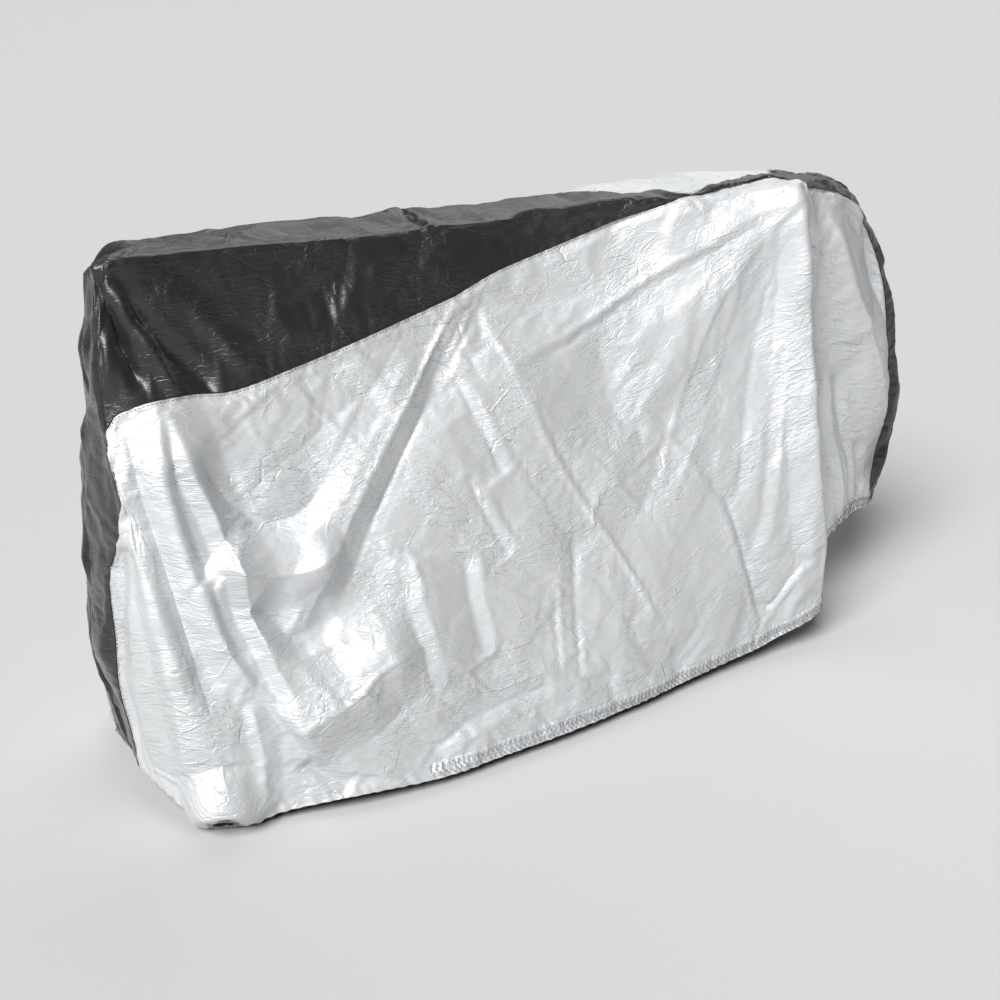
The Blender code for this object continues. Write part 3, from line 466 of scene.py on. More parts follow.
nose_sections = [
    (7.05, -0.258, 7.07, 0.000, 7.05, 0.230),
    (7.65, -0.228, 7.68, 0.000, 7.70, 0.200),
    (8.40, -0.204, 8.45, -0.020, 8.50, 0.160),
    (8.80, -0.192, 8.90, -0.035, 9.00, 0.120),
    (9.20, -0.177, 9.25, -0.055, 9.35, 0.070),
    (9.65, -0.162, 9.67, -0.085, 9.70, -0.010),
    (9.85, -0.150, 9.86, -0.125, 9.88, -0.100),
    (10.00, -0.143, 10.02, -0.137, 10.05, -0.130),
    (10.30, -0.136, 10.28, -0.122, 10.27, -0.106),
    (10.70, -0.100, 10.76, -0.073, 10.83, -0.045),
    (11.10, -0.060, 11.20, -0.035, 11.30, -0.008),
    (11.60, -0.030, 11.68, -0.012, 11.75, 0.008),
    (12.10, -0.022, 12.18, -0.012, 12.28, -0.002),
    (12.42, -0.044, 12.55, -0.028, 12.64, -0.012),
    (12.66, -0.092, 13.00, -0.028, 13.30, 0.025),
    (13.00, -0.135, 15.00, 0.000, 14.20, 0.065),
    (13.88, -0.158, 18.00, -0.020, 15.20, 0.110),
    (14.65, -0.164, 18.00, -0.050, 15.80, 0.140),
    (15.50, -0.176, 18.00, -0.090, 16.30, 0.170),
    (16.45, -0.210, 18.00, -0.140, 16.80, 0.205),
    (17.00, -0.255, 18.00, -0.200, 17.00, 0.250),
    (17.30, -0.330, 18.00, -0.290, 17.00, 0.315),
    (17.40, -0.450, 18.00, -0.430, 17.00, 0.450),
    (17.40, -0.600, 18.00, -0.590, 17.00, 0.600),
    (17.36, -0.800, 18.00, -0.795, 17.00, 0.800),
    (17.30, -1.000, 18.00, -1.000, 17.00, 1.000),
]
nose_pinch, nose_shoulder = 13, 20          # rows where the cut turns
near_seam, far_seam = (0, 1), (-2, -1)      # a section's columns


def even_along(places_at, first, last, count, samples=801):
    """Values from first to last that space the curve places_at evenly."""
    fine = np.linspace(first, last, samples)
    length = run_along(hang(places_at(fine)))
    return np.interp(np.linspace(0, length[-1], count + 1), length, fine)


def stops_between(rows, corners, counts):
    """Row numbers down a table, evenly spaced from each of its corner rows to the next."""
    spans = [even_along(lambda stops: curve_through(rows, stops)[:, list(near_seam)],
                        *corners[k:k + 2], count)[k > 0:] for k, count in enumerate(counts)]
    return np.concatenate(spans)


# The cut is laid out in cells: this many down a panel, and along each stretch of the seams.
cells_down, hem_cells_to_eyelet = 18, 6
tail_slope_cells, tail_corner_cells, top_cells = 7, 3, 21
nose_upper_cells, nose_lower_cells = 18, 10


def seam_stops(along, down):
    """Stops down the three gusset tables, in the cells of the cut, each split along and down."""
    return (stops_between(tail_sections, (0, tail_shoulder, tail_corner, len(tail_sections) - 1),
                          (cells_down * down, tail_slope_cells * along,
                           tail_corner_cells * along)),
            stops_between(top_sections, (0, len(top_sections) - 1), (top_cells * along,)),
            stops_between(nose_sections, (0, nose_pinch, nose_shoulder, len(nose_sections) - 1),
                          (nose_upper_cells * along, nose_lower_cells * along,
                           cells_down * down)))


def panel_places(side, along, down):
    """A grid of places over a side panel, from its seams down to its hem."""
    columns = list(near_seam if side < 0 else far_seam)
    rows, corner = cells_down * down, tail_corner_cells * along
    tail_stops, top_stops, nose_stops = seam_stops(along, down)
    tail = curve_through(tail_sections, tail_stops[:-corner])[:, columns]
    top = curve_through(top_sections, top_stops)[:, columns]
    nose = curve_through(nose_sections, nose_stops)[:, columns]
    left = tail[rows::-1]
    upper = np.vstack([tail[rows:], top[1:], nose[1:-rows]])
    right = nose[-rows - 1:]

    def hem(ribs):
        """Places along the panel's hem."""
        return np.stack([ribs, np.full(len(ribs), float(side))], 1)

    split = hem_cells_to_eyelet * along
    lower = hem(np.append(even_along(hem, left[-1, 0], eyelet_rib, split),
                          even_along(hem, eyelet_rib, right[-1, 0], len(upper) - 1 - split)[1:]))
    u = np.linspace(0, 1, len(upper))[:, None, None]
    v = np.linspace(0, 1, len(left))[None, :, None]
    ruled = (1 - v) * upper[:, None] + v * lower[:, None]
    crossed = (1 - u) * left[None] + u * right[None]
    corners = ((1 - u) * ((1 - v) * upper[0] + v * lower[0])
               + u * ((1 - v) * upper[-1] + v * lower[-1]))
    return ruled + crossed - corners


def edge_crossing(outer, inner):
    """Where a section crosses the cover's top edge, kept to the middle half of the section."""
    run = np.maximum(np.abs(outer[:, 1]) - np.abs(inner[:, 1]), 1e-3)
    share = np.clip((np.abs(outer[:, 1]) - levels[1]) / run, 0.25, 0.75)[:, None]
    return outer * (1 - share) + inner * share


def gusset_places(rows, stops, quarter):
    """A grid of places over a length of the gusset, with quarter cells to each of its legs."""
    sections = curve_through(rows, stops)
    near, middle, far = sections[:, :2], sections[:, -4:-2], sections[:, -2:]
    wraps = (middle[:, :1] < 1e-6) | (middle[:, :1] > last_rib - 1e-6)
    mirror = np.array([1, -1])
    beyond = np.where(wraps, middle * mirror, middle)
    if len(rows[0]) > 6:
        near_bend, far_bend = sections[:, 2:4], sections[:, 2:4] * mirror
    else:
        near_bend, far_bend = edge_crossing(near, middle), edge_crossing(far, beyond)
    share = np.linspace(0, 1, quarter + 1)[None, :, None]
    legs = ((near, near_bend), (near_bend, middle), (beyond, far_bend), (far_bend, far))
    parts = [start[:, None] * (1 - share) + end[:, None] * share for start, end in legs]
    return np.concatenate([parts[0]] + [part[:, 1:] for part in parts[1:]], 1)


# ---------------------------------------------------------------- creases from the packing
# Coated taffeta keeps the sharp creases of the bag that it was packed in, with flat facets
# between them. Where it hangs slack it buckles, and along its sewn and elastic edges it gathers.
def crumple(along, down, spacing, depth, seed, turn, stretch):
    """Heights of a crumpled sheet: flat facets with corners about spacing metres apart."""
    jitter, margin = 0.42, 2    # in spacings: how far a corner strays, and the rim of corners
    c, s = math.cos(turn), math.sin(turn)
    p, q = (along * c + down * s) / stretch, (down * c - along * s)
    draw = np.random.default_rng(seed)
    low, high = (p.min() - margin * spacing, q.min() - margin * spacing), (p.max(), q.max())
    counts = [int((high[k] - low[k]) / spacing) + 2 * margin for k in (0, 1)]
    corners = np.stack(np.meshgrid(*(np.arange(n) for n in counts), indexing="ij"), -1)
    corners = corners + draw.uniform(-jitter, jitter, corners.shape)
    corners = corners.reshape(-1, 2) * spacing + low
    heights = draw.uniform(-1, 1, len(corners)) * depth
    made = delaunay_2d_cdt([Vector(k) for k in corners], [], [], 0, 1e-9)
    order = [k[0] for k in made[3]]
    tree = BVHTree.FromPolygons([(v.x, v.y, heights[k]) for v, k in zip(made[0], order)], made[2])
    above, fall = 1.0, Vector((0, 0, -1))
    found = [tree.ray_cast(Vector((a, b, above)), fall)[0] for a, b in zip(p.ravel(), q.ravel())]
    return np.array([0.0 if k is None else k.z for k in found]).reshape(p.shape)


def facing(points):
    """Outward unit normals of a grid of points."""
    normal = np.cross(np.gradient(points, axis=1), np.gradient(points, axis=0))
    return normal / np.maximum(np.linalg.norm(normal, axis=-1, keepdims=True), 1e-12)


def mesh_from_grid(name, points, uv, keep=None):
    """A sheet of quads from a grid of points, with its cloth coordinates as a UV map."""
    columns, rows = points.shape[0] - 1, points.shape[1] - 1
    index = np.arange((columns + 1) * (rows + 1)).reshape(columns + 1, rows + 1)
    faces = np.stack([index[:-1, :-1], index[:-1, 1:], index[1:, 1:], index[1:, :-1]], -1)
    faces = faces.reshape(-1, 4)
    if keep is not None:
        faces = faces[keep.ravel()]
    used, faces = np.unique(faces, return_inverse=True)
    faces = faces.reshape(-1, 4)
    mesh = bpy.data.meshes.new(name)
    mesh.from_pydata(points.reshape(-1, 3)[used].tolist(), [], faces.tolist())
    layer = mesh.uv_layers.new(name="cloth")
    layer.data.foreach_set("uv", uv.reshape(-1, 2)[used][faces.ravel()].ravel())
    mesh.shade_smooth()
    piece = bpy.data.objects.new(name, mesh)
    bpy.context.scene.collection.objects.link(piece)
    return piece


def settle(grid, hold, slack, frames=20):
    """Lets a sheet with slack in it buckle between its seams, and gives how far its points move.

    hold is how firmly each point is held, 1 at a seam; slack is a share of the cloth's length.
    """
    piece = mesh_from_grid("settling", grid, grid[..., :2])
    group = piece.vertex_groups.new(name="hold")
    steps = np.round(hold.ravel(), 3)
    for value in np.unique(steps):
        group.add(np.flatnonzero(steps == value).tolist(), float(value), "REPLACE")
    cloth = piece.modifiers.new("cloth", "CLOTH")
    taffeta = cloth.settings
    taffeta.quality = 5
    taffeta.mass = 0.1
    taffeta.tension_stiffness = taffeta.compression_stiffness = 40
    taffeta.shear_stiffness = 20
    taffeta.bending_stiffness = 0.02
    taffeta.vertex_group_mass = "hold"
    taffeta.shrink_min = -slack
    taffeta.effector_weights.gravity = 0
    cloth.collision_settings.use_collision = False
    for frame_number in range(1, frames + 1):
        bpy.context.scene.frame_set(frame_number)
    graph = bpy.context.evaluated_depsgraph_get()
    settled = piece.evaluated_get(graph).to_mesh()
    points = np.empty(grid.size)
    settled.vertices.foreach_get("co", points)
    piece.evaluated_get(graph).to_mesh_clear()
    mesh = piece.data
    bpy.data.objects.remove(piece)
    bpy.data.meshes.remove(mesh)
    bpy.context.scene.frame_set(1)
    return points.reshape(grid.shape) - grid


def finer(values, shape):
    """Values of a coarse grid on a finer one of the same cloth."""
    for axis in (0, 1):
        values = np.moveaxis(values, axis, 0)
        stops = np.linspace(0, len(values) - 1, shape[axis])
        flat = curve_through(values.reshape(len(values), -1), stops)
        values = np.moveaxis(flat.reshape((len(stops),) + values.shape[1:]), 0, axis)
    return values


def fade_in(shape, cells):
    """0 at the edges of a grid and 1 from a number of cells inside them."""
    i, j = (np.minimum(np.arange(n), np.arange(n)[::-1]) for n in shape[:2])
    return eased(np.clip(np.minimum.outer(i, j) / cells, 0, 1))


def from_edge(grid, axis, end):
    """A grid turned so that one of its edges comes first, and how far its points are from it.

    The edge is at the first (0) or last (-1) place of an axis.
    """
    rows = np.moveaxis(grid, axis, 1)
    rows = rows[:, ::-1] if end else rows
    step = np.linalg.norm(np.diff(rows, axis=1), axis=2)
    return rows, np.concatenate([np.zeros((len(rows), 1)), np.cumsum(step, axis=1)], 1)


def ruched(points, axis, end, pitch, depth, reach, seed, sewn):
    """Heights of the small gathers along one edge of a grid, dying out over reach metres.

    Where the edge is sewn, it stays level, and the gathers are full from sewn metres inside it.
    """
    wander = 0.3                # how far a gather strays, in pitches
    least_size, least_length, fading = 0.3, 0.5, 1.5
    grid, away = from_edge(points, axis, end)
    run = run_along(grid[:, 0])
    draw = np.random.default_rng(seed)
    knots = np.arange(0, run[-1] + 2 * pitch, pitch)
    phase = np.interp(run, knots + draw.uniform(-wander, wander, len(knots)) * pitch,
                      np.arange(len(knots)))
    size = np.interp(run, knots, draw.uniform(least_size, 1.0, len(knots)))
    length = reach * np.interp(run, knots, draw.uniform(least_length, 1.0, len(knots)))[:, None]
    fade = np.clip(1 - away / length, 0, 1)**fading
    if sewn:
        fade *= np.clip(away / sewn, 0, 1)
    height = (np.sin(2 * math.pi * phase) * size)[:, None] * fade * depth
    if end:
        height = height[:, ::-1]
    return np.moveaxis(height, 1, axis)


# spacing | depth | seed, added to the cloth's own | side that they are turned to | stretch
broad_creases = ((0.170, 0.0075, 0, 1, 1.6), (0.085, 0.0042, 20, -1, 1.7))
small_creases = ((0.048, 0.0026, 40, 1, 1.8), (0.022, 0.0008, 60, -1, 1.6))
gather_seed = 80                # added to the cloth's own seed
seam_cells = 4                  # the creases come in over this many cells from the seams
held_cells, least_hold, edge_hold = 8, 0.02, 0.10       # how firmly the slack cloth is held


def creased(places, layers, seed, turn, depth=1.0):
    """Heights of layers of creases at an array of places."""
    along, down = cloth_coordinates(places)
    return sum(crumple(along, down, spacing, height * depth, seed + more, side * turn, stretch)
               for spacing, height, more, side, stretch in layers)


def crease_and_hang(places, coarse_places, seed, turn, slack, reach, edges, depth=1.0):
    """A grid of the hung, creased and settled cloth, and its cloth coordinates.

    edges are its ruched edges: the axis and end of each, its pitch, depth and reach, and how far
    from the edge the gathers start where it is sewn down.
    """
    coarse = hang(coarse_places)
    height = creased(coarse_places, broad_creases, seed, turn)
    moved = facing(coarse) * (height * fade_in(coarse.shape, seam_cells))[..., None]
    hold = least_hold + edge_hold * (1 - fade_in(coarse.shape, held_cells))
    hold[[0, -1]] = hold[:, 0] = hold[:, -1] = 1
    moved = moved + settle(coarse + moved, hold, slack)
    size = np.linalg.norm(moved, axis=-1, keepdims=True)
    moved *= np.minimum(1, reach / np.maximum(size, 1e-9))
    grid = hang(places)
    grid += finer(moved, grid.shape)
    height = creased(places, small_creases, seed, turn, depth)
    height *= fade_in(grid.shape, seam_cells)
    for number, (axis, end, pitch, gather, width, sewn) in enumerate(edges):
        height += ruched(grid, axis, end, pitch, gather, width, seed + gather_seed + number, sewn)
    return (grid + facing(grid) * height[..., None],
            np.stack(cloth_coordinates(places), -1))


# ---------------------------------------------------------------- silver coated taffeta
# Polyester taffeta with an aluminium-flake coating: pale, with a soft metallic sheen, and fine
# crinkles that the coating holds.
def linear(code):
    """An sRGB hex colour as linear RGBA."""
    parts = [int(code[k:k + 2], 16) / 255 for k in (0, 2, 4)]
    return tuple(c / 12.92 if c <= 0.04045 else ((c + 0.055) / 1.055)**2.4 for c in parts) + (1,)


def add_node(tree, kind, links=None, **settings):
    """Adds one node to a tree. links maps its inputs to values or to other nodes' outputs."""
    node = tree.nodes.new(kind)
    for key, value in settings.items():
        setattr(node, key, value)
    for key, value in (links or {}).items():
        if isinstance(value, bpy.types.NodeSocket):
            tree.links.new(value, node.inputs[key])
        else:
            node.inputs[key].default_value = value
    return node


def set_inputs(shader, **values):
    """Sets a shader's inputs by their names, with _ for each space."""
    for label, value in values.items():
        shader.inputs[label.replace("_", " ")].default_value = value


silver = bpy.data.materials.new("silver_coated_taffeta")
silver.use_nodes = True
tree = silver.node_tree
shader = tree.nodes["Principled BSDF"]
cloth_uv = add_node(tree, "ShaderNodeUVMap", uv_map="cloth")
# straight creases that come and go, some standing up and some pressed in: three nets of cells,
# a third as wide as they are long, whose edges rise or sink with a slow noise. Sizes are in
# millimetres, and each scale is the whole number of them in a metre.
sway_size, rumple_size, patch_size = 71, 21.7, 143
crease_nets = (                 # size of its cells | width and height of a crease, in metres
    (100, 0.0050, 0.0012), (42, 0.0034, 0.0008), (19.2, 0.0024, 0.0005))
stretched = add_node(tree, "ShaderNodeMapping", {"Vector": cloth_uv.outputs["UV"],
                                                 "Rotation": (0, 0, 0.6), "Scale": (1, 2.9, 1)})
bend = add_node(tree, "ShaderNodeTexNoise", {"Vector": stretched.outputs["Vector"],
                                             "Scale": round(1000 / sway_size), "Detail": 1.0},
                noise_dimensions="2D")
bent = add_node(tree, "ShaderNodeVectorMath",
                {0: bend.outputs["Color"], 1: (0.010, 0.010, 0.0), 2: stretched.outputs["Vector"]},
                operation="MULTIPLY_ADD")
rumple = add_node(tree, "ShaderNodeTexNoise", {"Vector": stretched.outputs["Vector"],
                                               "Scale": round(1000 / rumple_size),
                                               "Detail": 4.0, "Roughness": 0.62},
                  noise_dimensions="2D")
patches = add_node(tree, "ShaderNodeTexNoise", {"Vector": cloth_uv.outputs["UV"],
                                                "Scale": round(1000 / patch_size),
                                                "Detail": 1.0}, noise_dimensions="2D")
share = add_node(tree, "ShaderNodeMapRange", {"Value": patches.outputs["Fac"], "From Min": 0.40,
                                              "From Max": 0.62, "To Min": 0.30, "To Max": 0.85})
creases = add_node(tree, "ShaderNodeBump", {"Strength": share.outputs["Result"],
                                            "Distance": 0.0030,
                                            "Height": rumple.outputs["Fac"]},
                   name="soft_rumple")
for net_size, crease_width, crease_depth in crease_nets:
    scale = round(1000 / net_size)
    net = add_node(tree, "ShaderNodeTexVoronoi", {"Vector": bent.outputs[0], "Scale": scale},
                   feature="DISTANCE_TO_EDGE", voronoi_dimensions="2D")
    profile = add_node(tree, "ShaderNodeMapRange", {"Value": net.outputs["Distance"],
                                                    "From Min": 0.0,
                                                    "From Max": crease_width * scale,
                                                    "To Min": 1.0, "To Max": 0.0},
                       interpolation_type="SMOOTHSTEP")
    coming = add_node(tree, "ShaderNodeTexNoise", {"Vector": cloth_uv.outputs["UV"],
                                                   "Scale": 1.2 * scale, "Detail": 0.0},
                      noise_dimensions="2D")
    swing = add_node(tree, "ShaderNodeMapRange", {"Value": coming.outputs["Fac"],
                                                  "From Min": 0.3, "From Max": 0.7,
                                                  "To Min": -1.0, "To Max": 1.0})
    crease = add_node(tree, "ShaderNodeMath", {0: profile.outputs["Result"],
                                               1: swing.outputs["Result"]}, operation="MULTIPLY")
    creases = add_node(tree, "ShaderNodeBump", {"Strength": share.outputs["Result"],
                                                "Distance": crease_depth,
                                                "Height": crease.outputs["Value"],
                                                "Normal": creases.outputs["Normal"]})
tree.links.new(creases.outputs["Normal"], shader.inputs["Normal"])
set_inputs(shader, Base_Color=linear("d6d8da"), Metallic=0.38, Roughness=0.52)

# ---------------------------------------------------------------- near side panel
# The silver panel on the near side, sewn to the gusset along its upper edge and gathered on an
# elastic along its hem. A block of cells at the hem belongs to the eyelet's patch.
panel_edges = (                 # axis, end, pitch, depth, reach, sewn
    (1, -1, 0.026, 0.0022, 0.060, 0),           # the hem, on its elastic
    (1, 0, 0.022, 0.0012, 0.034, 0.004),        # the seams to the gusset
    (0, 0, 0.030, 0.0014, 0.040, 0.004),
    (0, -1, 0.026, 0.0020, 0.050, 0.004))
near_cells = (8, 12)            # how finely each cell of the cut is drawn, along and down
near_settling = (4, 6)          # and how finely it settles
near_grid, near_uv = crease_and_hang(panel_places(-1, *near_cells),
                                     panel_places(-1, *near_settling),
                                     seed=3, turn=0.6, slack=0.010, reach=0.014,
                                     edges=panel_edges)
patch_columns, patch_top = (5, 6), 16       # the eyelet patch's cells, along and down
cell = np.indices((near_grid.shape[0] - 1, near_grid.shape[1] - 1))
cell = cell // np.array(near_cells)[:, None, None]
in_patch = np.isin(cell[0], patch_columns) & (cell[1] >= patch_top)
near_panel = mesh_from_grid("near_panel", near_grid, near_uv, ~in_patch)
near_panel.data.materials.append(silver)

casing_height, casing_rows, casing_step = 0.034, 13, 0.0029
casing_pitch, casing_depth, casing_lift = 0.0116, 0.0026, 0.0022
casing_turned_in = 0.0005       # what is left of the lift along its upper edge
casing_slant = 0.35             # how far a pleat slants aside at its middle and ends, in pitches
casing_foot = 0.15              # how full a pleat is at the hem: 0 flat, 0.5 full
casing_drift = 0.5              # most pitches that the pleats stray from an even run
casing_drift_step = 0.05        # metres between the places where that changes


def rows_in(grid, axis, end, distances):
    """Lines beside one edge of a grid, at set distances from it, as (along, distance) points."""
    rows, away = from_edge(grid, axis, end)
    return np.array([[np.interp(distances, away[i], rows[i, :, k]) for k in range(3)]
                     for i in range(len(rows))]).transpose(0, 2, 1)


def respaced(rows, spacing):
    """A grid of rows resampled at an even spacing along its first row."""
    run = run_along(rows[:, 0])
    even = np.linspace(0, run[-1], int(run[-1] / spacing) + 1)
    flat = rows.reshape(len(rows), -1)
    flat = np.stack([np.interp(even, run, column) for column in flat.T], 1)
    return flat.reshape((len(even),) + rows.shape[1:]), even


def zigzag(x):
    """A triangle wave from -1 to 1, one wave to each whole number."""
    return 4 * np.abs(x - np.floor(x + 0.5)) - 1


def hem_casing(name, grid, first, seed=31):
    """The casing of the hem's elastic, ruched into small slanting pleats."""
    rises = np.linspace(0, casing_height, casing_rows)
    base, run = respaced(rows_in(grid[first:], 1, -1, rises), casing_step)
    share = np.linspace(0, 1, casing_rows)[None]
    knots = np.arange(0, run[-1] + 2 * casing_drift_step, casing_drift_step)
    drift = np.random.default_rng(seed).uniform(-casing_drift, casing_drift, len(knots))
    drift = np.interp(run, knots, drift)
    pleats = zigzag((run / casing_pitch + drift)[:, None] + casing_slant * zigzag(share))
    fullness = np.sin(math.pi * (casing_foot + (1 - casing_foot) * share))
    height = casing_lift + casing_depth * pleats * fullness
    height[:, -1] = casing_turned_in
    points = base - facing(base) * height[..., None]
    uv = np.stack(np.broadcast_arrays(run[:, None], rises[None]), -1)
    casing = mesh_from_grid(name, points[:, ::-1], uv[:, ::-1])
    casing.data.materials.append(silver)
    return casing


near_casing_end = -0.46         # x where the elastic's casing begins, forward of the tail
near_casing_start = int(np.argmax(near_grid[:, -1, 0] > near_casing_end))
near_casing = hem_casing("near_hem_casing", near_grid, near_casing_start)


def sewing_tree(name, swings):
    """Geometry Nodes that sew along a path: single stitches, or one zigzag thread."""
    tree = bpy.data.node_groups.new(name, "GeometryNodeTree")
    inputs = {}
    for label, kind in (("Path", "NodeSocketGeometry"), ("Pitch", "NodeSocketFloat"),
                        ("Length", "NodeSocketFloat"), ("Thread Radius", "NodeSocketFloat"),
                        ("Thread", "NodeSocketMaterial")):
        inputs[label] = tree.interface.new_socket(name=label, in_out="INPUT", socket_type=kind)
    tree.interface.new_socket(name="Sewing", in_out="OUTPUT", socket_type="NodeSocketGeometry")
    given = add_node(tree, "NodeGroupInput").outputs
    path = add_node(tree, "GeometryNodeMeshToCurve", {"Mesh": given["Path"]})
    even = add_node(tree, "GeometryNodeResampleCurve", {"Curve": path.outputs[0],
                                                        "Length": given["Pitch"]}, mode="LENGTH")
    if swings:
        index = add_node(tree, "GeometryNodeInputIndex")
        side = add_node(tree, "ShaderNodeMath", {0: index.outputs[0], 1: 2.0},
                        operation="MODULO")
        across = add_node(tree, "GeometryNodeInputNamedAttribute", {"Name": "across"},
                          data_type="FLOAT_VECTOR")
        reach = add_node(tree, "ShaderNodeMath", {0: side.outputs[0], 1: given["Length"]},
                         operation="MULTIPLY")
        offset = add_node(tree, "ShaderNodeVectorMath", {0: across.outputs[0],
                                                         "Scale": reach.outputs[0]},
                          operation="SCALE")
        placed = add_node(tree, "GeometryNodeSetPosition", {"Geometry": even.outputs[0],
                                                            "Offset": offset.outputs[0]})
        profile = add_node(tree, "GeometryNodeCurvePrimitiveCircle",
                           {"Resolution": 5, "Radius": given["Thread Radius"]})
        sewn = add_node(tree, "GeometryNodeCurveToMesh", {"Curve": placed.outputs[0],
                                                          "Profile Curve": profile.outputs[0]})
    else:
        tangent = add_node(tree, "GeometryNodeInputTangent")
        turned = add_node(tree, "FunctionNodeAlignRotationToVector",
                          {"Vector": tangent.outputs[0]}, axis="Z")
        stitch = add_node(tree, "GeometryNodeMeshCylinder",
                          {"Vertices": 6, "Radius": given["Thread Radius"],
                           "Depth": given["Length"]})
        sewn = add_node(tree, "GeometryNodeInstanceOnPoints",
                        {"Points": even.outputs[0], "Instance": stitch.outputs[0],
                         "Rotation": turned.outputs[0]})
    real = add_node(tree, "GeometryNodeRealizeInstances", {"Geometry": sewn.outputs[0]})
    finished = add_node(tree, "GeometryNodeSetMaterial", {"Geometry": real.outputs[0],
                                                          "Material": given["Thread"]})
    add_node(tree, "NodeGroupOutput", {"Sewing": finished.outputs[0]})
    return tree, {label: socket.identifier for label, socket in inputs.items()}


def sew(name, sewing, path, across=None, **sizes):
    """Runs one sewing tree along a path of points and gives its plain mesh.

    across is the way that a zigzag thread swings at each point, and sizes are the tree's inputs.
    """
    tree, inputs = sewing
    mesh = bpy.data.meshes.new(name + "_path")
    mesh.from_pydata(path.tolist(), [(k, k + 1) for k in range(len(path) - 1)], [])
    if across is not None:
        mesh.attributes.new("across", "FLOAT_VECTOR", "POINT")
        mesh.attributes["across"].data.foreach_set("vector", across.ravel())
    guide = bpy.data.objects.new(name + "_path", mesh)
    bpy.context.scene.collection.objects.link(guide)
    modifier = guide.modifiers.new("sewing", "NODES")
    modifier.node_group = tree
    for label, value in sizes.items():
        modifier[inputs[label.replace("_", " ")]] = value
    graph = bpy.context.evaluated_depsgraph_get()
    piece = bpy.data.objects.new(name, bpy.data.meshes.new_from_object(
        guide.evaluated_get(graph), depsgraph=graph))
    bpy.context.scene.collection.objects.link(piece)
    bpy.data.objects.remove(guide)
    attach(piece, "root")
    return piece


def thread_material(name, colour):
    """Twisted polyester thread: matt, with its plies slanting across it."""
    ply_spacing = 0.00157       # metres along each axis, as coarse as it needs to be to show
    thread = bpy.data.materials.new(name)
    thread.use_nodes = True
    shader = thread.node_tree.nodes["Principled BSDF"]
    place = add_node(thread.node_tree, "ShaderNodeTexCoord")
    plies = add_node(thread.node_tree, "ShaderNodeTexWave",
                     {"Vector": place.outputs["Object"], "Distortion": 1.0,
                      "Scale": round(math.tau / 10 / ply_spacing)},
                     bands_direction="DIAGONAL")
    twist = add_node(thread.node_tree, "ShaderNodeBump", {"Strength": 0.4, "Distance": 0.0003,
                                                          "Height": plies.outputs["Fac"]})
    thread.node_tree.links.new(twist.outputs["Normal"], shader.inputs["Normal"])
    set_inputs(shader, Base_Color=linear(colour), Roughness=0.6)
    return thread


grey_thread = thread_material("grey_polyester_thread", "8c8e90")
black_thread = thread_material("black_polyester_thread", "151516")
straight_stitch = sewing_tree("straight_stitch", False)
zigzag_stitch = sewing_tree("zigzag_stitch", True)
seam_inset, seam_lift = 0.005, 0.0006       # its stitches' place in from the join, and their rise
line_step = 0.004               # from a line to sew along to the one beside it


def seam_line(grid, distance):
    """A line round a panel's sewn edges, some way in from them and just proud of the cloth."""
    sides = [rows_in(grid, axis, end, [distance, distance + line_step])
             for axis, end in ((0, 0), (1, 0), (0, -1))]
    sides[0] = sides[0][::-1]
    trim = max(1, int(distance / line_step))
    parts = [(side + facing(side) * seam_lift)[trim:-trim, 0] for side in sides]
    return np.concatenate(parts)


def sew_seam(side, grid, thread):
    """A panel's seam to the gusset: a row of grey stitches, and the cord laid over the join."""
    return (sew(side + "_seam_stitches", straight_stitch, seam_line(grid, seam_inset),
                Pitch=0.0075, Length=0.0048, Thread_Radius=0.0005, Thread=grey_thread),
            sew(side + "_seam_cord", zigzag_stitch, seam_line(grid, 0.0),
                Pitch=0.006, Length=0.0, Thread_Radius=0.0011, Thread=thread))


# The near seam's cord is black. It stands for the black gusset's edge rolled over the join, and it
# also paints in the shade that lies along the seam's groove.
near_stitches, near_cord_with_painted_seam_shade = sew_seam("near", near_grid, black_thread)
zigzag_height, zigzag_lift = 0.011, 0.0050
for name, low in (("near_hem_zigzag", 0.005), ("near_hem_zigzag_above", 0.018)):
    hem_rows = respaced(rows_in(near_grid[near_casing_start:], 1, -1,
                                [low, low + zigzag_height]), line_step)[0]
    out = -facing(hem_rows)[:, 0]
    across = (hem_rows[:, 1] - hem_rows[:, 0]) / zigzag_height
    sew(name, zigzag_stitch, hem_rows[:, 0] + out * zigzag_lift, across,
                            Pitch=0.006, Length=zigzag_height, Thread_Radius=0.0007,
                            Thread=grey_thread)
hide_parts("side_panel_near")
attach(near_panel, "root")
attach(near_casing, "root")

# ---------------------------------------------------------------- eyelet patch
# The doubled corner of the near panel, of the same silver taffeta, with the round hole that the
# lock eyelet is clenched in.
patch_hole, rim_reach = 0.0225, 0.003       # its radius, and how near to it a point is drawn in
hole_edge = 0.0005              # cells whose middles lie this far inside the hole are cut out
hole_reach = 0.06               # height above the eyelet past which no cell is cut out
eyelet_world = eyelet_centre + np.array([-rear_to_middle, 0.0, floor_to_hem])
from_hole = near_grid - eyelet_world
from_hole -= (from_hole @ eyelet_facing)[..., None] * eyelet_facing
radius = np.linalg.norm(from_hole, axis=-1)
on_rim = np.abs(radius - patch_hole) < rim_reach
patch_grid = near_grid.copy()
patch_grid[on_rim] += (from_hole * (patch_hole / np.maximum(radius, 1e-6) - 1)[..., None])[on_rim]
middle = sum(radius[i:len(radius) - 1 + i, j:radius.shape[1] - 1 + j]
             for i in (0, 1) for j in (0, 1)) / 4
beside_eyelet = near_grid[:-1, :-1, 2] < eyelet_world[2] + hole_reach
cut_out = (middle < patch_hole - hole_edge) & beside_eyelet
patch = mesh_from_grid("eyelet_cloth", patch_grid, near_uv, in_patch & ~cut_out)
patch.data.materials.append(silver)
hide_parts("eyelet_patch")
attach(patch, "root")

